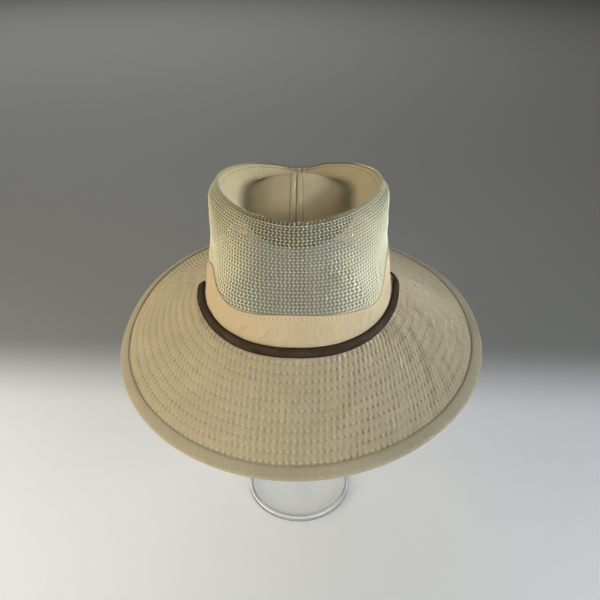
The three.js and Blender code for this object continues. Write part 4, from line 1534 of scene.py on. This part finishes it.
def build_crown_stitching(settings):
    width = settings.thread_width
    net = NetCloth(settings)

    def cotton_path(t):
        point, square = cotton_surface(t * TURN, cotton_row(t * TURN))
        return point - square * COTTON_THREAD_DEPTH, square

    def rim_path(t):
        azimuth = np.ravel(t * TURN)
        return shaped_like(t, *tip_surface(settings, azimuth, tip_share_at(azimuth, settings.rim_row)))

    def tip_path(start, end):
        def path(t):
            x, y = (np.ravel(mix(start[k] * MM, end[k] * MM, t)) for k in (0, 1))
            return shaped_like(t, *tip_surface(settings, *tip_place(x, y)))
        return path

    def net_path(t):
        azimuth = np.ravel(t * TURN)
        row = np.full(len(azimuth), settings.net_rows - NET_ROW_DROP)
        square = square_to(crown_point, azimuth, net.share(azimuth, row))
        point = net.place(azimuth, row, np.full(len(azimuth), settings.strand / 2))
        return shaped_like(t, point, square)

    row = (settings.strip_width - settings.seam_row) / MM
    seam_rows = [[(x, y) for y in SEAM_ROW_ENDS] for x in (-row, row)]
    paths = [cotton_path, rim_path, net_path]
    paths += [tip_path(start, end) for start, end in (*seam_rows, *TIP_TACKS)]
    shares = {net_path: NET_STITCH_SHARE}
    lots = [
        stitches_along(path, settings.stitch_length, width, shares.get(path, STITCH_SHARE)) for path in paths
    ]
    finish = thread_finish("crown_thread", settings.thread_colour)
    add_piece(mesh_of("crown_stitching", *join(*lots)), finish)


def band_frame(azimuth):
    """Foot of the band on the brim, and its directions up and through the strap."""
    lean = np.radians(straight_around(BAND_LIES, "lean", azimuth))
    out = outwards(azimuth)
    up = upwards(azimuth)
    up_strap = up * np.cos(lean)[:, None] - out * np.sin(lean)[:, None]
    through = out * np.cos(lean)[:, None] + up * np.sin(lean)[:, None]
    loose = straight_around(BAND_LIES, "gap", azimuth) + BAND_HEIGHT * np.sin(lean)
    fall = np.tan(np.radians(around(BRIM_SLOPES, "inner", azimuth)))
    top = BAND_LIFT + BAND_HEIGHT * np.cos(lean) - (loose - SEAM_GAP) * fall
    inset = crown_radius(azimuth, 0.0) - crown_radius(azimuth, top / rim_height(azimuth))
    foot = crown_point(azimuth, 0.0, loose - inset)
    foot[:, 2] = BRIM_HEIGHT - (loose - inset - SEAM_GAP) * fall + BAND_LIFT
    return foot, up_strap, through


BAND_TURNS = 260
BAND_CORNER = 0.5 * MM
BAND_CAMBER = 0.18 * MM
BAND_CAMBER_MIDDLE = 0.6
BAND_WOBBLE = 0.08 * MM
BAND_SHARP = 50


def build_band(settings):
    rows = BAND_LIES["azimuth"]
    rows = np.where(rows < BAND_FROM, rows + TURN, rows)
    near_ends = np.array([0.06, 0.14, 0.26, 0.45])
    azimuth = np.unique(np.concatenate([
        np.linspace(BAND_FROM, BAND_TO, BAND_TURNS), rows, BAND_FROM + near_ends, BAND_TO - near_ends,
    ]))
    foot, up_strap, through = band_frame(azimuth)
    corner = BAND_CORNER
    turn = np.radians(np.linspace(0, 90, 5))
    side = np.linspace(corner, BAND_HEIGHT - corner, 9)[1:-1]
    up = np.concatenate([
        [0], corner - corner * np.cos(turn), side,
        BAND_HEIGHT - corner + corner * np.sin(turn), [BAND_HEIGHT],
    ])
    deep = np.concatenate([
        [0], BAND_THICKNESS - corner + corner * np.sin(turn), np.full(len(side), BAND_THICKNESS),
        BAND_THICKNESS - corner + corner * np.cos(turn), [0],
    ])
    arch = BAND_CAMBER * (np.sin(math.pi * up / BAND_HEIGHT) - BAND_CAMBER_MIDDLE)
    deep = np.where(deep > BAND_THICKNESS / 2, deep + arch, deep)
    wobble = BAND_WOBBLE * waves(azimuth[:, None], up * 3, 61, turns=(12, 70), pitch=(10 * MM, 50 * MM))
    deep = np.where(deep > 0, deep + wobble, deep)
    run = running_length(foot)
    to_end = np.clip(np.minimum(run, run[-1] - run) / corner, 0, 1)
    inset = (corner * (1 - np.sqrt(1 - (1 - to_end) ** 2)))[:, None]
    up = np.clip(up, inset, BAND_HEIGHT - inset)
    deep = np.clip(deep, inset, BAND_THICKNESS + BAND_CAMBER - inset)
    sections = foot[:, None] + up_strap[:, None] * up[..., None] + through[:, None] * deep[..., None]
    cloth = np.stack(np.broadcast_arrays(run[:, None], np.append(up, up[:, :1], axis=1)), -1)
    points, faces, places = skin(sections, cloth, closed=False)
    mesh = mesh_of("hat_band_strap", points, faces, {"cloth": places}, BAND_SHARP)
    add_piece(mesh, leather_finish(settings), ["hat_band"])


FLOOR_CLEARANCE = 0.15 * MM
STAND_TURNS = 160
WELD_DISTANCE = 1e-7


def turned_piece(name, node, edge, settings):
    """A round plate or rod with softly rounded edges, in the place of its node."""
    low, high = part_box(node)
    radius = high.x
    finish = acrylic_finish(settings, f"{name}_acrylic", radius, low.z, high.z)
    turn = np.radians(np.linspace(0, 90, 7))
    out = np.concatenate([[0.0], np.linspace(0, radius - edge, 5)[1:-1], radius - edge + edge * np.sin(turn)])
    rise = np.concatenate([np.zeros(4), edge - edge * np.cos(turn)])
    profile_out = np.concatenate([out, out[::-1]])
    profile_up = np.concatenate([low.z + FLOOR_CLEARANCE + rise, (high.z - rise)[::-1]])
    azimuth = np.linspace(0, TURN, STAND_TURNS + 1)[:-1]
    sections = outwards(azimuth)[:, None] * profile_out[:, None]
    sections[..., 2] = profile_up
    size = sections.shape[1]
    a, s = quad_grid(STAND_TURNS, size - 1)
    mesh = mesh_of(name, sections.reshape(-1, 3), [(a % STAND_TURNS) * size + s])
    work = bmesh.new()
    work.from_mesh(mesh)
    bmesh.ops.remove_doubles(work, verts=work.verts, dist=WELD_DISTANCE)
    work.to_mesh(mesh)
    work.free()
    add_piece(mesh, finish, [node])


def build_stand(settings):
    for name, node, edge in (
        ("stand_foot_clear", "stand_base", 1.5 * MM),
        ("stand_rod_clear", "stand_post", 0.5 * MM),
        ("stand_plate_clear", "stand_top", 1.5 * MM),
    ):
        turned_piece(name, node, edge, settings)


# Stage

CAMERA_PLACE = (14.5 * MM, -430.8 * MM, 513 * MM)
CAMERA_TURN = (57.3, 0.0, 1.8)
CAMERA_LENS = 34.62
FLOOR_RADIUS = 40.0
LIGHT_TARGET = (0.0, 0.0, 0.27)
CROWN_TARGET = (0.0, -0.01, 0.315)


def soft_light(name, place, size, power, tint, target=LIGHT_TARGET, spread=180.0):
    """A square soft light that faces the hat or another place."""
    lamp = bpy.data.lights.new(name, "AREA")
    lamp.size = size
    lamp.spread = math.radians(spread)
    lamp.energy = power
    lamp.color = tint[:3]
    light = bpy.data.objects.new(name, lamp)
    light.location = place
    aim = np.array(target) - place
    level = math.hypot(aim[0], aim[1])
    light.rotation_euler = (math.atan2(level, -aim[2]), 0, math.atan2(-aim[0], aim[1]))
    bpy.context.scene.collection.objects.link(light)


def build_stage(settings):
    scene = bpy.context.scene
    rings = np.concatenate([np.linspace(0.05, 0.9, 18), np.geomspace(1.0, FLOOR_RADIUS, 16)])
    azimuth = np.linspace(0, TURN, 97)[:-1]
    points = (outwards(azimuth)[:, None] * rings[:, None]).reshape(-1, 3)
    a, s = quad_grid(len(azimuth), len(rings) - 1)
    quads = (a % len(azimuth)) * len(rings) + s
    middle = np.arange(len(azimuth))[None] * len(rings)
    floor_mesh = mesh_of("stage_floor", points, [quads, middle[:, ::-1]])
    floor = bpy.data.objects.new("stage_floor", floor_mesh)
    floor_mesh.materials.append(floor_finish(settings))
    scene.collection.objects.link(floor)
    cool, warm = settings.key_colour, settings.fill_colour
    soft_light("key_right", (0.78, -0.75, 0.6), 0.6, settings.key_power, cool)
    soft_light("fill_left", (-0.92, -0.45, 0.5), 0.6, settings.fill_power, warm)
    soft_light("front_low", (0.0, -1.3, 0.45), 0.6, settings.front_power, cool)
    soft_light("crown_right", (1.1, -0.3, 0.62), 0.2, settings.crown_power, cool, CROWN_TARGET, 16.0)
    soft_light("floor_behind", (-1.3, 3.2, 2.6), 4.0, settings.back_power, (1.0, 1.0, 1.0), (-0.9, 3.4, 0.0))
    world = bpy.data.worlds.new("stage_sky")
    world.use_nodes = True
    sky = world.node_tree.nodes["Background"]
    sky.inputs["Color"].default_value = (1.0, 1.0, 1.0, 1.0)
    sky.inputs["Strength"].default_value = settings.sky
    scene.world = world
    scene.view_settings.view_transform = "Standard"
    lens = bpy.data.cameras.new("photo_camera")
    lens.lens = CAMERA_LENS
    lens.clip_start = 0.01
    camera = bpy.data.objects.new("photo_camera", lens)
    camera.location = CAMERA_PLACE
    camera.rotation_euler = [math.radians(angle) for angle in CAMERA_TURN]
    scene.collection.objects.link(camera)
    scene.camera = camera


# Operators and panel

class HAT_OT_brim(bpy.types.Operator):
    """Build the quilted brim"""

    bl_idname = "hat.brim"
    bl_label = "Brim"

    def execute(self, context):
        build_brim(context.scene.hat_brim)
        return {"FINISHED"}


class HAT_OT_brim_stitching(bpy.types.Operator):
    """Sew the rows of stitches on both sides of the brim"""

    bl_idname = "hat.brim_stitching"
    bl_label = "Brim stitching"

    def execute(self, context):
        build_brim_stitching(context.scene.hat_brim)
        return {"FINISHED"}


class HAT_OT_binding(bpy.types.Operator):
    """Fold the binding over the brim's edge"""

    bl_idname = "hat.binding"
    bl_label = "Binding"

    def execute(self, context):
        build_binding(context.scene.hat_brim)
        return {"FINISHED"}


class HAT_OT_cotton_wall(bpy.types.Operator):
    """Build the cotton wall of the crown"""

    bl_idname = "hat.cotton_wall"
    bl_label = "Cotton wall"

    def execute(self, context):
        build_cotton_wall(context.scene.hat_crown)
        return {"FINISHED"}


class HAT_OT_net(bpy.types.Operator):
    """Knit the net of the crown"""

    bl_idname = "hat.net"
    bl_label = "Net"

    def execute(self, context):
        build_net(context.scene.hat_crown)
        return {"FINISHED"}


class HAT_OT_tip(bpy.types.Operator):
    """Build both halves of the crown's tip"""

    bl_idname = "hat.tip"
    bl_label = "Tip"

    def execute(self, context):
        build_tip(context.scene.hat_crown)
        return {"FINISHED"}


class HAT_OT_crown_stitching(bpy.types.Operator):
    """Sew the crown's seams"""

    bl_idname = "hat.crown_stitching"
    bl_label = "Crown stitching"

    def execute(self, context):
        build_crown_stitching(context.scene.hat_crown)
        return {"FINISHED"}


class HAT_OT_band(bpy.types.Operator):
    """Lay the leather band around the crown"""

    bl_idname = "hat.band"
    bl_label = "Band"

    def execute(self, context):
        build_band(context.scene.hat_band)
        return {"FINISHED"}


class HAT_OT_stand(bpy.types.Operator):
    """Build the clear stand"""

    bl_idname = "hat.stand"
    bl_label = "Stand"

    def execute(self, context):
        build_stand(context.scene.hat_stand)
        return {"FINISHED"}


class HAT_OT_stage(bpy.types.Operator):
    """Lay the floor and set the lights and the camera"""

    bl_idname = "hat.stage"
    bl_label = "Stage"

    def execute(self, context):
        build_stage(context.scene.hat_stage)
        return {"FINISHED"}


SETTINGS = {
    "hat_brim": HatBrimSettings,
    "hat_crown": HatCrownSettings,
    "hat_band": HatBandSettings,
    "hat_stand": HatStandSettings,
    "hat_stage": HatStageSettings,
}
OPERATORS = (
    HAT_OT_brim, HAT_OT_brim_stitching, HAT_OT_binding, HAT_OT_cotton_wall, HAT_OT_net,
    HAT_OT_tip, HAT_OT_crown_stitching, HAT_OT_band, HAT_OT_stand, HAT_OT_stage,
)


class HAT_PT_pieces(bpy.types.Panel):
    """The hat's sizes and colours, and the steps that build it"""

    bl_idname = "HAT_PT_pieces"
    bl_label = "Safari hat"
    bl_space_type = "VIEW_3D"
    bl_region_type = "UI"
    bl_category = "Hat"

    def draw(self, context):
        for name, group in SETTINGS.items():
            box = self.layout.box()
            box.label(text=group.__doc__)
            for setting in group.__annotations__:
                box.prop(getattr(context.scene, name), setting)
        for operator in OPERATORS:
            self.layout.operator(operator.bl_idname)


def register():
    for group in (*SETTINGS.values(), *OPERATORS, HAT_PT_pieces):
        bpy.utils.register_class(group)
    for name, group in SETTINGS.items():
        setattr(bpy.types.Scene, name, bpy.props.PointerProperty(type=group))


def unregister():
    for name in SETTINGS:
        delattr(bpy.types.Scene, name)
    for group in (HAT_PT_pieces, *reversed(OPERATORS), *SETTINGS.values()):
        bpy.utils.unregister_class(group)


def main():
    register()
    bpy.ops.hat.brim()
    bpy.ops.hat.brim_stitching()
    bpy.ops.hat.binding()
    bpy.ops.hat.cotton_wall()
    bpy.ops.hat.net()
    bpy.ops.hat.tip()
    bpy.ops.hat.crown_stitching()
    bpy.ops.hat.band()
    bpy.ops.hat.stand()
    bpy.ops.hat.stage()


if __name__ == "__main__":
    main()
